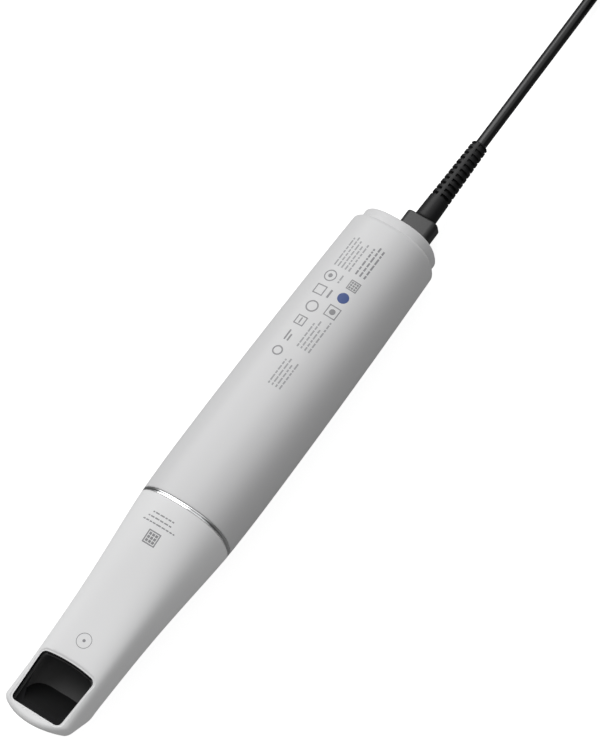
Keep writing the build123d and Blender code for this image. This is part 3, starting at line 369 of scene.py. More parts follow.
def cut(piece, cutter):
    """Takes the cutter's shape out of the piece for good, welds the result and deletes the cutter."""
    change = piece.modifiers.new("cut", "BOOLEAN")
    change.operation = "DIFFERENCE"
    change.solver = "EXACT"
    change.material_mode = "TRANSFER"
    change.object = cutter
    bpy.context.view_layer.update()
    shown = piece.evaluated_get(bpy.context.evaluated_depsgraph_get())
    result = bpy.data.meshes.new_from_object(shown)
    piece.modifiers.clear()
    piece.data = result
    edit = bmesh.new()
    edit.from_mesh(result)
    bmesh.ops.remove_doubles(edit, verts=edit.verts, dist=WELD)
    bmesh.ops.dissolve_degenerate(edit, edges=edit.edges, dist=WELD)
    edit.to_mesh(result)
    edit.free()
    result.set_sharp_from_angle(angle=SHARP_ANGLE)
    bpy.data.objects.remove(cutter)


def dress(piece, body, slot, *replaced):
    """The piece rides on a body and stands for the named nodes, which are hidden; slot is not used."""
    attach(piece, body)
    if replaced:
        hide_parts(*replaced)
    print(piece.name, len(piece.data.polygons), "faces")
    return piece


# %% Profile helpers
LEAST_CORNER = 0.1 * MM


def quarter(steps):
    """Angles of a quarter round, end points included."""
    return np.linspace(0, pi / 2, steps)


def ramp(value, low, high):
    """Smooth step from 0 at low to 1 at high: 3 s^2 - 2 s^3 of the share s."""
    share = np.clip((value - low) / (high - low), 0, 1)
    return share * share * (3 - 2 * share)


def tube_rows(stations, insets):
    """Rows of the outer form for a profile of stations and insets."""
    return form_points(np.asarray(stations)[:, None], np.asarray(insets)[:, None], turns[None, :])


def rounded_rectangle(width, height, corner, steps=8):
    """Outline of a rounded rectangle about the origin, anticlockwise: four quarter circles."""
    turn = np.concatenate([quarter(steps) + number * pi / 2 for number in range(4)])
    side_x = np.repeat((1, -1, -1, 1), steps) * (width / 2 - corner)
    side_y = np.repeat((1, 1, -1, -1), steps) * (height / 2 - corner)
    return side_x + corner * np.cos(turn), side_y + corner * np.sin(turn)


def block_rows(stations, shrinks, width, height, corner, z, y=0.0):
    """Rows of a rounded block along X: its outline drawn in by each shrink at each station."""
    rows = []
    for station, shrink in zip(stations, shrinks):
        across_y, up_z = rounded_rectangle(
            width - 2 * shrink, height - 2 * shrink, max(corner - shrink, LEAST_CORNER)
        )
        rows.append(np.stack((np.full(len(across_y), station), y + across_y, z + up_z), axis=-1))
    return np.stack(rows)


# %% [markdown]
# ## The barrel housing
#
# The housing is one moulded tube. Its profile is a closed loop: a tiny round at the seam with the ring, the
# long outside, a larger round at the rear, and the inside wall back to the front. Clamping the outside at
# the table's height gives the flat land it lies on, as the solid has it. The scan button on the back shows
# through a slot with round ends, a stadium, which is cut out last.

# %% Housing
HOUSING_WALL = 1.7 * MM
SEAM_ROUND, END_ROUND = 0.3 * MM, 1.5 * MM
OUTSIDE_ROWS, INSIDE_ROWS = 118, 23

seam, end = quarter(6)[::-1], quarter(12)
housing_stations = np.concatenate((
    [housing_x],
    housing_x + SEAM_ROUND * (1 - np.sin(seam)),
    np.linspace(housing_x + SEAM_ROUND, housing_end_x - END_ROUND, OUTSIDE_ROWS + 2)[1:-1],
    housing_end_x - END_ROUND * (1 - np.sin(end)),
    np.linspace(housing_end_x, housing_x, INSIDE_ROWS + 1)[:-1],
))
housing_insets = np.concatenate((
    [HOUSING_WALL],
    SEAM_ROUND * (1 - np.cos(seam)),
    np.zeros(OUTSIDE_ROWS),
    END_ROUND * (1 - np.cos(end)),
    np.full(INSIDE_ROWS, HOUSING_WALL),
))
housing_rows = tube_rows(housing_stations, housing_insets)
housing_rows[..., 2] = np.maximum(housing_rows[..., 2], 0.0)
housing = skin("housing_shell", housing_rows, finishes["body_pearl"], looped=True)

# %% Button slot
BUTTON_LENGTH, BUTTON_WIDTH = 13.0 * MM, 8.4 * MM
LIGHT_RIM, BUTTON_GAP = 1.7 * MM, 0.05 * MM
BUTTON_CUT = (-2.0 * MM, 2.4 * MM)
BUTTON_POINTS = 96

light_low, light_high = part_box("button_light")
button_x = (light_low.x + light_high.x) / 2
button_radius = BUTTON_WIDTH / 2 + LIGHT_RIM + BUTTON_GAP
button_straight = (BUTTON_LENGTH - BUTTON_WIDTH) / 2
button_turns = np.linspace(0, 2 * pi, BUTTON_POINTS, endpoint=False)
slot_x = button_x + button_radius * np.cos(button_turns) + button_straight * np.sign(np.cos(button_turns))
slot_y = button_radius * np.sin(button_turns)
button_rows = np.stack([
    np.stack((slot_x, slot_y, np.full(BUTTON_POINTS, height)), axis=-1) for height in BUTTON_CUT
])
cut(housing, skin("button_cutter", button_rows, finishes["body_pearl"], capped=(True, True)))
dress(housing, "handpiece", "body_pearl", "housing")

# %% [markdown]
# ## The polished ring
#
# A thin bright band parts the tip from the barrel. It is the same profile trick with a slightly crowned
# outside, a fine lip at the front and a groove behind the lip. Its edges stop a hair short of both
# neighbours, so that each seam reads as a fine dark line.

# %% Ring
RING_SEAM = 0.12 * MM
RING_CROWN = 0.1 * MM
RING_DEPTH, RING_EDGE = 3.3 * MM, 0.25 * MM
BAND_SHOULDER = 0.1 * MM
BAND_ROWS = 13
# Distance behind the ring's front and inset of the lip's five points and the groove's three.
RING_LIP = np.array(((0.0, 3.3), (0.0, 0.12), (0.08, 0.02), (0.36, 0.02), (0.42, 0.08))) * MM
RING_GROOVE = np.array(((0.42, 0.7), (0.64, 0.7), (0.64, 0.25))) * MM

ring_start, ring_end = ring_x + RING_SEAM, housing_x - RING_SEAM
ring_front = np.concatenate((RING_LIP, RING_GROOVE))
band = np.linspace(-1, 1, BAND_ROWS)
band_start = ring_start + ring_front[-1, 0]
band_x = (band_start + ring_end) / 2 + band * ((ring_end - band_start) / 2 - BAND_SHOULDER)
ring_stations = np.concatenate((ring_start + ring_front[:, 0], band_x, [ring_end, ring_end]))
ring_insets = np.concatenate((ring_front[:, 1], RING_CROWN * band**2, [RING_EDGE, RING_DEPTH]))
ring = skin("polished_ring", tube_rows(ring_stations, ring_insets), finishes["ring_polished"], looped=True)
dress(ring, "handpiece", "ring_polished", "front_ring")

# %% [markdown]
# ## The slide-on tip
#
# The tip is a thin hollow moulding. Its outside flows from the ring into a flat head, which ends in a bowed
# nose above and a slanted face below, where the mirror sits. Instead of cutting solids, each front point is
# slid along X to the later of those two faces, and a quarter round eases the edge, a wider one on the
# cheeks and the back than on the belly.

# %% Tip shell
HEEL_X = nose_x + 15.3 * MM
SLANT_ANGLE = radians(42)
HEEL_Z = AXIS_Z - HEAD_SIZE[2]
NOSE_BOW, BOW_REACH = 22.0 * MM, 0.9
HEAD_ROUND, CHEEK_ROUND, INNER_ROUND = 1.6 * MM, 3.4 * MM, 0.4 * MM
CHEEK_RISE = (-0.3, 0.5)
CREASE = 0.6 * MM
SEAM_EASE = 0.2 * MM
TIP_WALL = 1.4 * MM
HEAD_STATION = nose_x + 20.0 * MM
FACE_ROWS, ROUND_ROWS, HEAD_ROWS, FLARE_ROWS, RIM_ROWS = 26, 9, 12, 70, 5
FACE_MIDDLE = 0.02


def front_x(y, z, inset):
    """Where the tip's front lies at (y, z): the rearmost of the slanted face and the bowed nose, both
    drawn in by inset, with the crease between them eased by a smooth maximum."""
    slant = HEEL_X + inset / sin(SLANT_ANGLE) - (z - HEEL_Z) / tan(SLANT_ANGLE)
    bow = NOSE_BOW - inset
    nose = nose_x + inset + bow - np.sqrt(bow**2 - np.minimum(np.abs(y), BOW_REACH * bow) ** 2)
    return (slant + nose + np.sqrt((slant - nose) ** 2 + CREASE**2)) / 2


def tip_rows(inset, ease):
    """Rows of the tip's skin drawn in by inset, from the middle of its front face to the ring: a face
    shrunk from its edge, a quarter round of radius ease, and the tube."""
    edge = form_points(HEAD_STATION, inset + ease, turns)
    middle = edge.mean(axis=0)
    face = middle + (edge - middle) * np.linspace(FACE_MIDDLE, 1, FACE_ROWS)[:, None, None]
    face[..., 0] = front_x(face[..., 1], face[..., 2], inset)
    bend = quarter(ROUND_ROWS)[1:, None]
    round_over = form_points(HEAD_STATION, inset + ease * (1 - np.sin(bend)), turns)
    round_over[..., 0] = front_x(round_over[..., 1], round_over[..., 2], inset) + ease * (1 - np.cos(bend))
    start = round_over[-1, :, 0]
    head_share = np.linspace(0, 1, HEAD_ROWS)[1:, None]
    head = form_points(start + (HEAD_STATION - start) * head_share, inset, turns)
    flare = form_points(np.linspace(HEAD_STATION, ring_x, FLARE_ROWS)[1:, None], inset, turns)
    return np.concatenate((face, round_over, head, flare))


outer = tip_rows(0.0, HEAD_ROUND + (CHEEK_ROUND - HEAD_ROUND) * ramp(-np.sin(turns), *CHEEK_RISE))
outer[-1] = tube_rows([ring_x - SEAM_EASE], [0.0])[0]
rim = quarter(RIM_ROWS)[1:]
rim_rows = tube_rows(ring_x - SEAM_EASE * (1 - np.sin(rim)), SEAM_EASE * (1 - np.cos(rim)))
inner = tip_rows(TIP_WALL, INNER_ROUND)[::-1]
shell_rows = np.concatenate((outer, rim_rows, inner))
tip = skin("tip_shell_skin", shell_rows, finishes["tip_white"], capped=(True, True))

# %% [markdown]
# ## The scan window
#
# The window is an opening with a straight front, tapered sides and a bowed rear. Its outline is written once,
# as a function of how far it is grown, and that gives both the opening and the stepped rim round it: each
# level of the cutter is the outline grown by an amount, at a height over the skin. A cutter brings its own
# finishes to the faces it makes, so the deep wall of the opening comes out black.

# %% Scan window
WINDOW_FRONT = nose_x + 4.0 * MM
WINDOW_REAR = WINDOW_FRONT + 19.5 * MM
WINDOW_HALF = (10.0 * MM, 10.7 * MM)
WINDOW_BOW = 1.0 * MM
WINDOW_CORNER = 2.0 * MM
CORNER_STEPS, BOW_STEPS = 9, 25
# Growth and height over the skin of each level, in millimetres, from the deep wall up over the rim.
WINDOW_STEP = ((0.0, -3.4), (0.0, -0.46), (0.1, -0.38), (0.45, -0.36), (0.8, -0.05), (0.92, 0.02), (1.0, 4.0))


def window_outline(grow):
    """The window's outline grown by an amount: a straight front, tapered sides and a rear edge bowed on a
    circle through its corners, with rounded corners."""
    bow = (WINDOW_HALF[1] ** 2 + WINDOW_BOW**2) / (2 * WINDOW_BOW)
    bow_x = WINDOW_REAR + WINDOW_BOW - bow
    side = WINDOW_HALF[1] - WINDOW_CORNER
    rear_x = bow_x + ((bow - WINDOW_CORNER) ** 2 - side**2) ** 0.5
    lean = np.arcsin(side / (bow - WINDOW_CORNER))
    corner = WINDOW_CORNER + grow
    front_turn = np.linspace(pi, pi / 2, CORNER_STEPS)
    rear_turn = np.linspace(pi / 2, lean, CORNER_STEPS)
    bow_turn = np.linspace(lean, -lean, BOW_STEPS)[1:-1]
    front_y = WINDOW_HALF[0] - WINDOW_CORNER
    x = np.concatenate((
        WINDOW_FRONT + WINDOW_CORNER + corner * np.cos(front_turn),
        rear_x + corner * np.cos(rear_turn),
        bow_x + (bow + grow) * np.cos(bow_turn),
        rear_x + corner * np.cos(rear_turn[::-1]),
        WINDOW_FRONT + WINDOW_CORNER + corner * np.cos(front_turn[::-1]),
    ))
    y = np.concatenate((
        front_y + corner * np.sin(front_turn),
        side + corner * np.sin(rear_turn),
        (bow + grow) * np.sin(bow_turn),
        -side - corner * np.sin(rear_turn[::-1]),
        -front_y - corner * np.sin(front_turn[::-1]),
    ))
    return x, y


def window_row(grow, rise):
    """The outline grown by an amount, at a height over the skin."""
    x, y = window_outline(grow)
    return np.stack((x, y, belly_height(x, y) + rise), axis=-1)


window_rows = np.stack([window_row(grow * MM, rise * MM) for grow, rise in WINDOW_STEP])
window_cutter = skin("window_cutter", window_rows[::-1], finishes["tip_white"], capped=(True, True))
window_cutter.data.materials.append(finishes["optics_black"])
# The cutter's rows run from the top down, so its last band of quads is the deep wall.
levels, level_points = window_rows.shape[:2]
deep_wall = np.zeros(len(window_cutter.data.polygons), dtype=np.int32)
deep_wall[level_points * (levels - 2):level_points * (levels - 1)] = 1
window_cutter.data.polygons.foreach_set("material_index", deep_wall)
cut(tip, window_cutter)
dress(tip, "tip", "tip_white", "tip_shell")

# %% [markdown]
# ## Painted shade on the edges inside the window
#
# The mirror and the black sleeve behind the window are nodes of the frame whose shape is right. Only their
# edges that face up would catch the lamp, so those get painted shade: faces chosen by their normals
# and heights get a second, black finish, and the meshes stay as they are.

# %% Painted shade on edges inside the window
FACES_UP = 0.95

for name in ("tip_mirror", "tip_liner"):
    mesh = nodes[name].data
    mesh.materials.append(finishes["optics_black"])
    normals, centres = np.empty((2, 3 * len(mesh.polygons)))
    mesh.polygons.foreach_get("normal", normals)
    mesh.polygons.foreach_get("center", centres)
    # Painted shade: faces that face up, where the lamp would light them, take the black finish.
    edge = (normals[2::3] > FACES_UP) & (centres[2::3] > AXIS_Z)
    mesh.polygons.foreach_set("material_index", edge.astype(np.int32))
    print(name, int(edge.sum()), "edge faces blackened")

# %% [markdown]
# ## Print
#
# Small printed marks lie on the belly of the barrel and the tip: rows of dashes, plain outlines, squares and
# a blue dot that say nothing. An image could carry them, but would fix their sharpness. Instead each mark is
# a film of ink, a closed slab a few hundredths of a millimetre thick laid over the formula's skin, so it
# follows the curve exactly. All places and sizes of print are in millimetres.

# %% Ink helpers
INK_RISE, INK_SINK = 0.03 * MM, 0.02 * MM
INK_RINGS = (0.02, 0.35, 0.7, 1.0)
SIDE_STEPS, DISC_STEPS = 8, 32
ink_grey = finish_of("ink grey", (0.25, 0.25, 0.26), 0.5, bump=0.0)
ink_pale = finish_of("ink pale grey", (0.36, 0.36, 0.37), 0.5, bump=0.0)
ink_blue = finish_of("ink blue", (0.013, 0.05, 0.21), 0.45, bump=0.0)


def ink_level(outline, rise):
    """An outline in plan, in millimetres, laid at a height over the upper skin."""
    x, y = np.asarray(outline, dtype=float).T * MM
    return np.stack((x, y, belly_height(x, y) + rise), axis=-1)


def ink_patch(outline):
    """A closed film of ink inside an outline that runs anticlockwise as seen from above: the outline shrunk
    to its middle in a few rings, once above the skin and once below."""
    outline = np.asarray(outline, dtype=float)
    middle = outline.mean(axis=0)
    rows = [ink_level(middle + (outline - middle) * share, INK_RISE) for share in INK_RINGS]
    rows += [ink_level(middle + (outline - middle) * share, -INK_SINK) for share in INK_RINGS[::-1]]
    return grid_faces(np.stack(rows)[::-1], capped=(True, True))


def ink_band(outside, inside):
    """A closed film of ink between two outlines of as many points."""
    rows = [ink_level(outside, rise) for rise in (-INK_SINK, INK_RISE)]
    rows += [ink_level(inside, rise) for rise in (INK_RISE, -INK_SINK)]
    return grid_faces(np.stack(rows), looped=True)


def bar(x, y, length, width):
    """Outline of a bar along X from (x, y), centred on y."""
    low, high = y - width / 2, y + width / 2
    return [(x, low), (x + length, low), (x + length, high), (x, high)]


def disc(x, y, radius):
    """Outline of a circle."""
    turn = np.linspace(0, 2 * pi, DISC_STEPS, endpoint=False)
    return np.stack((x + radius * np.cos(turn), y + radius * np.sin(turn)), axis=-1)


def ring_mark(x, y, radius, line_width):
    """A circle outline about (x, y)."""
    return ink_band(disc(x, y, radius), disc(x, y, radius - line_width))


def frame_mark(x, y, size, line_width):
    """A square outline about (x, y)."""
    corners = np.array(((-1, -1), (1, -1), (1, 1), (-1, 1))) / 2
    steps = np.linspace(0, 1, SIDE_STEPS, endpoint=False)[:, None]
    square = np.concatenate([a + (b - a) * steps for a, b in zip(corners, np.roll(corners, -1, axis=0))])
    return ink_band(square * size + (x, y), square * (size - 2 * line_width) + (x, y))


def square_grid(x, y, pitch, size):
    """Three by three filled squares about (x, y)."""
    steps = (-pitch, 0.0, pitch)
    return [ink_patch(bar(x + i - size / 2, y - j, size, size)) for i in steps for j in steps]


# %% Rows of dashes
LINE_SHARE = (0.72, 1.0)
DASH_LENGTH, DASH_GAP, LEAST_DASH = (0.7, 2.6), 0.42, 0.5
draw = np.random.default_rng(7)


def dashes(x, y, length, line_count, pitch, width):
    """Rows of dashes of random lengths with small gaps, from (x, y) towards +X and then -Y."""
    made = []
    for line_number in range(line_count):
        reach = x + length * draw.uniform(*LINE_SHARE)
        place = x
        while place < reach - LEAST_DASH:
            dash = min(draw.uniform(*DASH_LENGTH), reach - place)
            made.append(ink_patch(bar(place, y - line_number * pitch, dash, width)))
            place += dash + DASH_GAP
    return made


# %% Print on the barrel
ROW_WIDTH, BOLD_ROW_WIDTH = 0.58, 0.66
# Each block of rows: x, y, length, number of rows and their pitch.
SMALL_ROWS = (
    (81.2, 7.3, 13.6, 5, 1.5), (75.6, 1.9, 4.0, 1, 1.5), (48.6, -0.2, 13.4, 4, 1.55), (32.2, 0.1, 12.6, 4, 1.5)
)
BOLD_ROWS = ((81.6, -1.3, 13.4, 3, 1.7),)
# Each outline: x, y, radius or size, line width. Each dot: x, y, radius. Each bar: x, y, length, width.
# The grid of squares: x, y, pitch, size.
BARREL_RINGS = ((76.9, 5.9, 2.3, 0.4), (63.9, 4.4, 2.3, 0.5), (44.0, 4.7, 1.9, 0.5))
BARREL_FRAMES = (
    (70.6, 5.9, 4.0, 0.4), (57.4, 4.6, 3.8, 0.4), (65.5, -2.9, 4.6, 0.36), (77.4, -3.4, 3.9, 0.36)
)
BARREL_DOTS = ((76.9, 5.9, 0.8), (65.5, -2.9, 1.1))
BARREL_BARS = ((69.0, 1.9, 3.4, 0.7), (56.2, 4.6, 2.4, 0.5), (48.6, 5.3, 4.2, 0.6), (48.6, 4.0, 2.8, 0.6))
BARREL_GRID = (77.4, -3.4, 1.0, 0.72)
BLUE_DOT = (71.8, -3.0, 2.05)

small = [mark for block in SMALL_ROWS for mark in dashes(*block, ROW_WIDTH)]
bold = [mark for block in BOLD_ROWS for mark in dashes(*block, BOLD_ROW_WIDTH)]
bold += [ring_mark(*place) for place in BARREL_RINGS] + [frame_mark(*place) for place in BARREL_FRAMES]
bold += [ink_patch(disc(*place)) for place in BARREL_DOTS]
bold += [ink_patch(bar(*place)) for place in BARREL_BARS]
bold += square_grid(*BARREL_GRID)
blue = [ink_patch(disc(*BLUE_DOT))]
barrel_print = (
    ("barrel_print_small", small, ink_pale), ("barrel_print", bold, ink_grey), ("barrel_dot", blue, ink_blue)
)
for name, marks, ink in barrel_print:
    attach(mesh_object(name, marks, ink), "handpiece")
    print(name, len(marks), "marks")

# %% Print on the tip
TIP_CIRCLE, TIP_DOT = (-75.0, 0.3, 2.75, 0.2), (-75.0, 0.3, 0.55)
TIP_FRAME, TIP_GRID = (-34.6, 0.85, 4.9, 0.42), (-34.6, 0.85, 1.24, 0.96)
# Each crosswise row: its x, and the y where it starts and ends.
TIP_ROWS = ((-26.5, 5.7, -2.8), (-28.2, 6.6, -3.6), (-29.9, 7.6, -5.2))
TIP_DASH, TIP_GAP, TIP_ROW_WIDTH = (0.6, 1.9), 0.4, 0.44

tip_marks = [ring_mark(*TIP_CIRCLE), ink_patch(disc(*TIP_DOT))]
for x, place, reach in TIP_ROWS:
    while place > reach + LEAST_DASH:
        dash = min(draw.uniform(*TIP_DASH), place - reach)
        tip_marks.append(ink_patch(bar(x - TIP_ROW_WIDTH / 2, place - dash / 2, TIP_ROW_WIDTH, dash)))
        place -= dash + TIP_GAP
tip_marks.append(frame_mark(*TIP_FRAME))
tip_marks += square_grid(*TIP_GRID)
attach(mesh_object("tip_print", tip_marks, ink_grey), "tip")
print("tip_print", len(tip_marks), "marks")

# %% [markdown]
# ## The rear cap
#
# A shallow cup closes the barrel's end, set in a little all round, with a soft edge. The plug's tongue goes
# through a slot in it, so that slot is cut out as it is in the solid.

# %% Rear cap
CAP_INSET = 1.8 * MM
CAP_WALL, CAP_END_WALL = 1.6 * MM, 2.2 * MM
CAP_ROUND = 0.9 * MM
CAP_FACE_MIDDLE, CAP_FACE_ROWS = 0.05, 12
SOCKET_SIZE = np.array((7.6 + 0.6, 3.6 + 0.6)) * MM
SOCKET_CORNER = 1.0 * MM
SOCKET_CUT = (-4.0 * MM, 2.0 * MM)


def cap_rows(station, inset):
    """Rows of the cap: the barrel's rear section, drawn in, carried along X."""
    rows = tube_rows(np.full(len(inset), housing_end_x), CAP_INSET + np.asarray(inset))
    rows[..., 0] = np.asarray(station)[:, None]
    return rows


def shrunk(row, shares):
    """Copies of a row drawn in to its middle by each share."""
    middle = row.mean(axis=0)
    return middle + (row - middle) * shares[:, None, None]


cap_bend = quarter(10)
cap_edge_x = cap_end_x - CAP_ROUND * (1 - np.sin(cap_bend))
cap_wall = cap_rows(
    np.concatenate(([cap_end_x - CAP_END_WALL, cap_front_x, cap_front_x], cap_edge_x)),
    np.concatenate(([CAP_WALL, CAP_WALL, 0.0], CAP_ROUND * (1 - np.cos(cap_bend)))),
)
face_shares = np.linspace(1, CAP_FACE_MIDDLE, CAP_FACE_ROWS)[1:]
cup = np.concatenate((shrunk(cap_wall[0], face_shares)[::-1], cap_wall, shrunk(cap_wall[-1], face_shares)))
cap = skin("rear_cap_shell", cup, finishes["cap_grey"], capped=(True, True))

plug_low, plug_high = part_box("cable_plug")
plug_z = (plug_low.z + plug_high.z) / 2
socket_x = [cap_end_x + reach for reach in SOCKET_CUT]
socket_rows = block_rows(socket_x, (0, 0), *SOCKET_SIZE, SOCKET_CORNER, plug_z)
cut(cap, skin("socket_cutter", socket_rows, finishes["cap_grey"], capped=(True, True)))
dress(cap, "handpiece", "cap_grey", "rear_cap")

# %% [markdown]
# ## Plug and strain relief
#
# Behind the cap sits a moulded plug block, and a rubber cone carries the lead out of it. The cone has a row
# of slots in each flank so that it bends, with a spine left along the top and bottom. The slots are a
# radius that drops from the cone to its core wherever a point is inside a slot and away from the spine.

# %% Plug block
PLUG_CORNER = 2.2 * MM
PLUG_FRONT_EDGE, PLUG_EDGE = 0.3 * MM, 0.7 * MM

front_bend, rear_bend = quarter(5), quarter(7)
plug_stations = np.concatenate((
    plug_low.x + PLUG_FRONT_EDGE * (1 - np.cos(front_bend)), plug_high.x - PLUG_EDGE * (1 - np.sin(rear_bend))
))
plug_shrinks = np.concatenate((
    PLUG_FRONT_EDGE * (1 - np.sin(front_bend)), PLUG_EDGE * (1 - np.cos(rear_bend))
))
plug_width, plug_height = plug_high.y - plug_low.y, plug_high.z - plug_low.z
plug_rows = block_rows(plug_stations, plug_shrinks, plug_width, plug_height, PLUG_CORNER, plug_z)
plug = skin("plug_block", plug_rows, finishes["plug_black"], capped=(True, True))
dress(plug, "cable", "plug_black", "cable_plug")

# %% Strain relief
BOOT_FRONT, BOOT_REAR, BOOT_CORE = 8.0 * MM / 2, 6.2 * MM / 2, 5.0 * MM / 2
BOOT_EDGE = 0.3 * MM
SLOT_COUNT, SLOT_PITCH, SLOT_WIDTH, SLOT_START = 11, 2.35 * MM, 1.1 * MM, 9.6 * MM
SLOT_EASE = 0.06 * MM
SPINE_HALF, SPINE_EASE = 1.3 * MM / 2, 3 * SLOT_EASE
EASE_STEPS = np.array((-2, -1, -0.3, 0.3, 1, 2))
BOOT_ROWS, BOOT_AROUND = 60, 160

boot_low, boot_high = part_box("strain_relief")
boot_length = boot_high.x - boot_low.x
slot_edges = SLOT_START + np.arange(SLOT_COUNT)[:, None] * SLOT_PITCH + np.array((0.0, SLOT_WIDTH))
edge_rows = (slot_edges[..., None] + EASE_STEPS * SLOT_EASE).ravel()
distance = np.unique(np.concatenate((np.linspace(0, boot_length, BOOT_ROWS), edge_rows)))
boot_turns = np.linspace(0, 2 * pi, BOOT_AROUND, endpoint=False)
cone = BOOT_FRONT + (BOOT_REAR - BOOT_FRONT) * distance / boot_length
gap = np.abs(distance[:, None] - slot_edges.mean(axis=1)).min(axis=1)
in_slot = 1 - ramp(gap, SLOT_WIDTH / 2 - SLOT_EASE, SLOT_WIDTH / 2 + SLOT_EASE)
off_spine = ramp(np.abs(np.cos(boot_turns)) * cone[:, None], SPINE_HALF, SPINE_HALF + SPINE_EASE)
radius = cone[:, None] + (BOOT_CORE - cone[:, None]) * in_slot[:, None] * off_spine
end_share = np.clip(np.minimum(distance, boot_length - distance) / BOOT_EDGE, 0, 1)
radius -= BOOT_EDGE * (1 - np.sqrt(np.clip(1 - (1 - end_share) ** 2, 0, 1)))[:, None]
boot_rows = np.stack((
    np.broadcast_to((boot_low.x + distance)[:, None], radius.shape),
    radius * np.cos(boot_turns),
    plug_z + radius * np.sin(boot_turns),
), axis=-1)
boot = skin("strain_relief_boot", boot_rows, finishes["boot_black"], capped=(True, True))
dress(boot, "cable", "boot_black", "strain_relief")

# %% [markdown]
# ## The lead
#
# The lead is one open NURBS line with a round bevel. Its free stretch repeats the route that the solids
# follow. The length that isn't in view is put away in a neat coil: a loop walks through the bundle's places
# one after another, shifting by one diameter near the end of each turn, and starts the shift earlier where
# the walk turns a corner, so that no strand cuts another. Then the tail climbs to the connector on top.

# %% Coil of the lead
CORD_DIAMETER = 4.2 * MM
CORD_ROUTE = np.array((
    (155.3, 0.0, 8.15),
    (178.8, 0.0, 8.15),
    (210.8, 1.0, 5.4),
    (238.8, 2.0, 2.9),
    (258.8, 2.1, 2.8),
)) * MM
COIL_RADIUS = 23.4 * MM
COIL_COLUMNS, COIL_LAYERS, COIL_TURNS = 4, 5, 18
COIL_START, COIL_STEP, COIL_SHIFT = radians(-90), radians(20), radians(60)
TAIL_TURN = radians(120)
TAIL_STEPS = 8
CONNECTOR_Z = 24.9 * MM

coil_centre = CORD_ROUTE[-1] - np.array((0.0, COIL_RADIUS, 0.0))
coil_places = [
    (column if layer % 2 == 0 else COIL_COLUMNS - 1 - column, layer)
    for layer in range(COIL_LAYERS) for column in range(COIL_COLUMNS)
]


def coil_point(column, layer, turn):
    """A point of the bundle, whose turns run clockwise: its column counts inwards from the outermost
    strand, its layer upwards."""
    reach = COIL_RADIUS - column * CORD_DIAMETER
    return coil_centre + np.array((reach * cos(turn), -reach * sin(turn), layer * CORD_DIAMETER))


coil_turn = COIL_START
coil_points = []
for here, there, later in zip(coil_places[:COIL_TURNS], coil_places[1:], coil_places[2:]):
    at_corner = np.subtract(there, here).tolist() != np.subtract(later, there).tolist()
    sweep = 2 * pi - (COIL_SHIFT if at_corner else 0.0)
    for step in np.arange(0, sweep - COIL_STEP / 2, COIL_STEP):
        shift = ramp(step, sweep - COIL_SHIFT, sweep)
        coil_points.append(coil_point(*(np.array(here) + shift * np.subtract(there, here)), coil_turn + step))
    coil_turn += sweep
last_column, last_layer = coil_places[COIL_TURNS]
climb = (CONNECTOR_Z - coil_centre[2]) / CORD_DIAMETER - last_layer
tail_points = [
    coil_point(last_column, last_layer + climb * share, coil_turn + TAIL_TURN * share)
    for share in np.linspace(0, 1, TAIL_STEPS)
]
lead_points = np.vstack((CORD_ROUTE, coil_points[1:], tail_points))
lead_length = float(np.linalg.norm(np.diff(lead_points, axis=0), axis=1).sum())
print("lead", len(lead_points), "points,", round(lead_length, 3), "m along its points")

# %% Lead
LEAD_SMOOTHNESS, LEAD_ORDER = 6, 3

lead_curve = bpy.data.curves.new("lead", "CURVE")
lead_curve.dimensions = "3D"
lead_curve.resolution_u = LEAD_SMOOTHNESS
lead_curve.bevel_depth = CORD_DIAMETER / 2
lead_curve.bevel_resolution = LEAD_SMOOTHNESS
lead_curve.use_fill_caps = True
line = lead_curve.splines.new("NURBS")
line.points.add(len(lead_points) - 1)
line.points.foreach_set("co", np.hstack((lead_points, np.ones((len(lead_points), 1)))).ravel())
line.order_u = LEAD_ORDER
line.use_endpoint_u = True
line.resolution_u = LEAD_SMOOTHNESS
lead_curve.materials.append(finishes["cord_black"])
lead = bpy.data.objects.new("lead", lead_curve)
bpy.context.scene.collection.objects.link(lead)
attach(lead, "cable")
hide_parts("cord", "cord_coil", "cord_tail")
print(lead.name, "of order", LEAD_ORDER, "through", len(line.points), "points")

# %% [markdown]
# ## Strap and connector
#
# A woven strap holds the coil, and the connector for the computer lies on top. The strap is a rounded
# rectangle, the outline of the bundle, carried round a short arc of the coil. The connector is a rounded
# block behind a short neck that widens from the lead.

# %% Coil strap
TIE_ARC = radians(22)
TIE_THICKNESS, TIE_GAP = 0.6 * MM, 0.05 * MM
TIE_STEPS = 12

bundle = np.array((COIL_COLUMNS, COIL_LAYERS)) * CORD_DIAMETER
bundle_reach = COIL_RADIUS - (COIL_COLUMNS - 1) / 2 * CORD_DIAMETER
bundle_z = CORD_ROUTE[-1][2] - CORD_DIAMETER / 2 + bundle[1] / 2
strap_turn = np.linspace(0, TIE_ARC, TIE_STEPS)
strap_rows = []
for grow, arcs in ((TIE_THICKNESS, strap_turn), (TIE_GAP, strap_turn[::-1])):
    out, up = rounded_rectangle(*(bundle + 2 * grow), CORD_DIAMETER / 2 + grow, steps=TIE_STEPS)
    away = bundle_reach + out
    for arc in arcs:
        strap_rows.append(np.stack(
            (coil_centre[0] + away * cos(arc), coil_centre[1] + away * sin(arc), bundle_z + up), axis=-1
        ))
strap = skin("coil_strap", np.stack(strap_rows)[::-1], finishes["tie_black"], looped=True)
dress(strap, "cable", "tie_black", "cord_tie")

# %% Connector body
CONNECTOR_SIZE = np.array((11.5, 6.4)) * MM
CONNECTOR_EDGE, CONNECTOR_CORNER, CORNER_SPARE = 0.8 * MM, 2.4 * MM, 0.01 * MM
NECK_LENGTH = 6.0 * MM
NECK_SIZES = np.array(((4.2, 4.2), (5.4, 5.4))) * MM

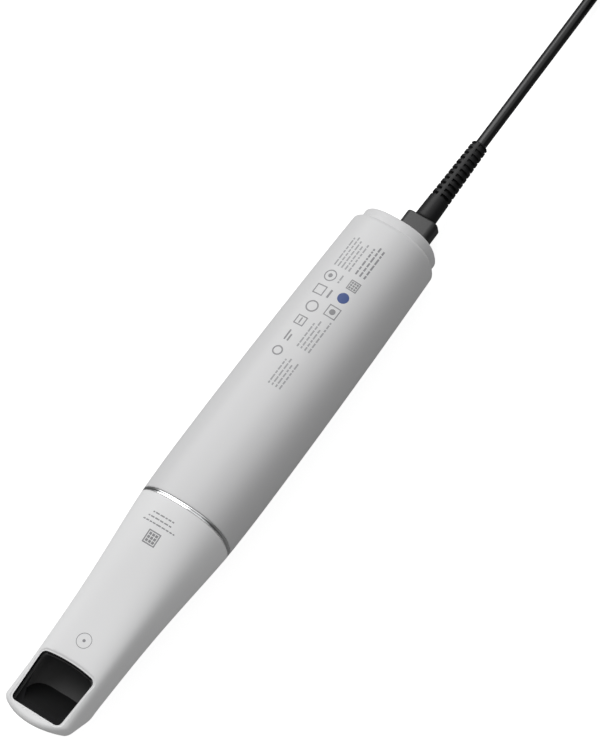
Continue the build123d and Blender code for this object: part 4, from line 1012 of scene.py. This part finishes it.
connector_low, connector_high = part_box("connector_body")
shoulder_x = connector_low.x + NECK_LENGTH
end_bend = quarter(6)
connector_stations = np.concatenate((
    [connector_low.x, shoulder_x - CONNECTOR_EDGE],
    shoulder_x + CONNECTOR_EDGE * (1 - np.cos(end_bend)),
    connector_high.x - CONNECTOR_EDGE * (1 - np.sin(end_bend)),
))
drawn_in = CONNECTOR_EDGE * np.concatenate((1 - np.sin(end_bend), 1 - np.cos(end_bend)))
connector_sizes = np.concatenate((NECK_SIZES, CONNECTOR_SIZE - 2 * drawn_in[:, None]))
connector_rows = np.concatenate([
    block_rows(
        (station,), (0,), width, height, min(CONNECTOR_CORNER, height / 2 - CORNER_SPARE),
        CONNECTOR_Z, lead_points[-1][1],
    )
    for station, (width, height) in zip(connector_stations, connector_sizes)
])
connector = skin("connector_grip", connector_rows, finishes["plug_black"], capped=(True, True))
dress(connector, "cable", "plug_black", "connector_body")

# %% [markdown]
# ## The lead in place
#
# The lead, its plug, boot, strap and connector are all in place now.

print("lead in place with its plug, boot, strap and connector")

# %% [markdown]
# ## The studio
#
# A white sweep, a dim even sky and one large soft lamp, high on the far side behind the barrel, light the
# scanner as a catalogue picture would be lit. The white behind it comes from what the camera sees of the
# floor and sky, not from more light on the object, so the pale plastic keeps its tone. Reflections see a sky
# of their own, bright round its crown and dim low down, which gives the polished ring and the black plastic
# their contrast.

# %% Sky
SKY_FILL = 0.37
SKY_GLOSS = (0.12, 1.0)
SKY_TURN = (0.3, 0.85)
SKY_CROWN = Vector((0.3, 0.22, 0.93))


def blend_values(tree, share, low, high):
    """Node that blends two values; each is a number or another node's output."""
    node = tree.nodes.new("ShaderNodeMix")
    node.data_type = "FLOAT"
    tree.links.new(share, node.inputs[0])
    for socket, value in ((node.inputs[2], low), (node.inputs[3], high)):
        if isinstance(value, float):
            socket.default_value = value
        else:
            tree.links.new(value, socket)
    return node.outputs[0]


world = bpy.data.worlds.new("studio")
bpy.context.scene.world = world
world.use_nodes = True
sky_tree = world.node_tree
sky = sky_tree.nodes["Background"]
sky.inputs["Color"].default_value = (1.0, 1.0, 1.0, 1.0)
direction = sky_tree.nodes.new("ShaderNodeTexCoord")
facing = sky_tree.nodes.new("ShaderNodeVectorMath")
facing.operation = "DOT_PRODUCT"
facing.inputs[1].default_value = SKY_CROWN
sky_tree.links.new(direction.outputs["Generated"], facing.inputs[0])
mirrored = sky_tree.nodes.new("ShaderNodeMapRange")
mirrored.interpolation_type = "SMOOTHSTEP"
mirrored.inputs["From Min"].default_value, mirrored.inputs["From Max"].default_value = SKY_TURN
mirrored.inputs["To Min"].default_value, mirrored.inputs["To Max"].default_value = SKY_GLOSS
sky_tree.links.new(facing.outputs["Value"], mirrored.inputs["Value"])
sky_path = sky_tree.nodes.new("ShaderNodeLightPath")
level = blend_values(sky_tree, sky_path.outputs["Is Glossy Ray"], SKY_FILL, mirrored.outputs["Result"])
level = blend_values(sky_tree, sky_path.outputs["Is Transmission Ray"], level, 1.0)
level = blend_values(sky_tree, sky_path.outputs["Is Camera Ray"], level, 1.0)
sky_tree.links.new(level, sky.inputs["Strength"])
print("sky", SKY_FILL, "for diffuse light,", SKY_GLOSS, "in reflections")

# %% Floor
FLOOR_COLOR = 0.38
FLOOR_GLOW = 0.9
FLOOR_GLOSS = 0.15
FLOOR_HALF = 6.0

paper = bpy.data.materials.new("white sweep")
paper.use_nodes = True
paper_tree = paper.node_tree
paper_shader = paper_tree.nodes["Principled BSDF"]
paper_shader.inputs["Roughness"].default_value = 1.0
paper_shader.inputs["Specular IOR Level"].default_value = 0.0
paper_shader.inputs["Emission Color"].default_value = (1.0, 1.0, 1.0, 1.0)
paper_path = paper_tree.nodes.new("ShaderNodeLightPath")
tint = blend_values(paper_tree, paper_path.outputs["Is Glossy Ray"], FLOOR_COLOR, 0.0)
paper_tree.links.new(tint, paper_shader.inputs["Base Color"])
glow = blend_values(paper_tree, paper_path.outputs["Is Glossy Ray"], 0.0, FLOOR_GLOSS)
glow = blend_values(paper_tree, paper_path.outputs["Is Transmission Ray"], glow, FLOOR_GLOW)
glow = blend_values(paper_tree, paper_path.outputs["Is Camera Ray"], glow, FLOOR_GLOW)
paper_tree.links.new(glow, paper_shader.inputs["Emission Strength"])

floor_mesh = bpy.data.meshes.new("floor")
floor_corners = [(x * FLOOR_HALF, y * FLOOR_HALF, 0.0) for x, y in ((-1, -1), (1, -1), (1, 1), (-1, 1))]
floor_mesh.from_pydata(floor_corners, [], [(0, 1, 2, 3)])
floor_mesh.materials.append(paper)
floor = bpy.data.objects.new("floor", floor_mesh)
bpy.context.scene.collection.objects.link(floor)
print("floor", 2 * FLOOR_HALF, "m across")

# %% Lamp
LAMP_PLACE = Vector((0.42, 0.66, 1.02))
LAMP_AIM = Vector((0.02, 0.0, 0.02))
LAMP_SIZE = 1.1
LAMP_POWER = 11.4

lamp_data = bpy.data.lights.new("softbox", "AREA")
lamp_data.shape = "SQUARE"
lamp_data.size = LAMP_SIZE
lamp_data.energy = LAMP_POWER
lamp = bpy.data.objects.new("softbox", lamp_data)
lamp.location = LAMP_PLACE
lamp.rotation_mode = "QUATERNION"
lamp.rotation_quaternion = (LAMP_AIM - LAMP_PLACE).to_track_quat("-Z", "Y")
bpy.context.scene.collection.objects.link(lamp)
bpy.context.scene.view_settings.view_transform = "Standard"
print("lamp", LAMP_POWER, "W,", LAMP_SIZE, "m square")
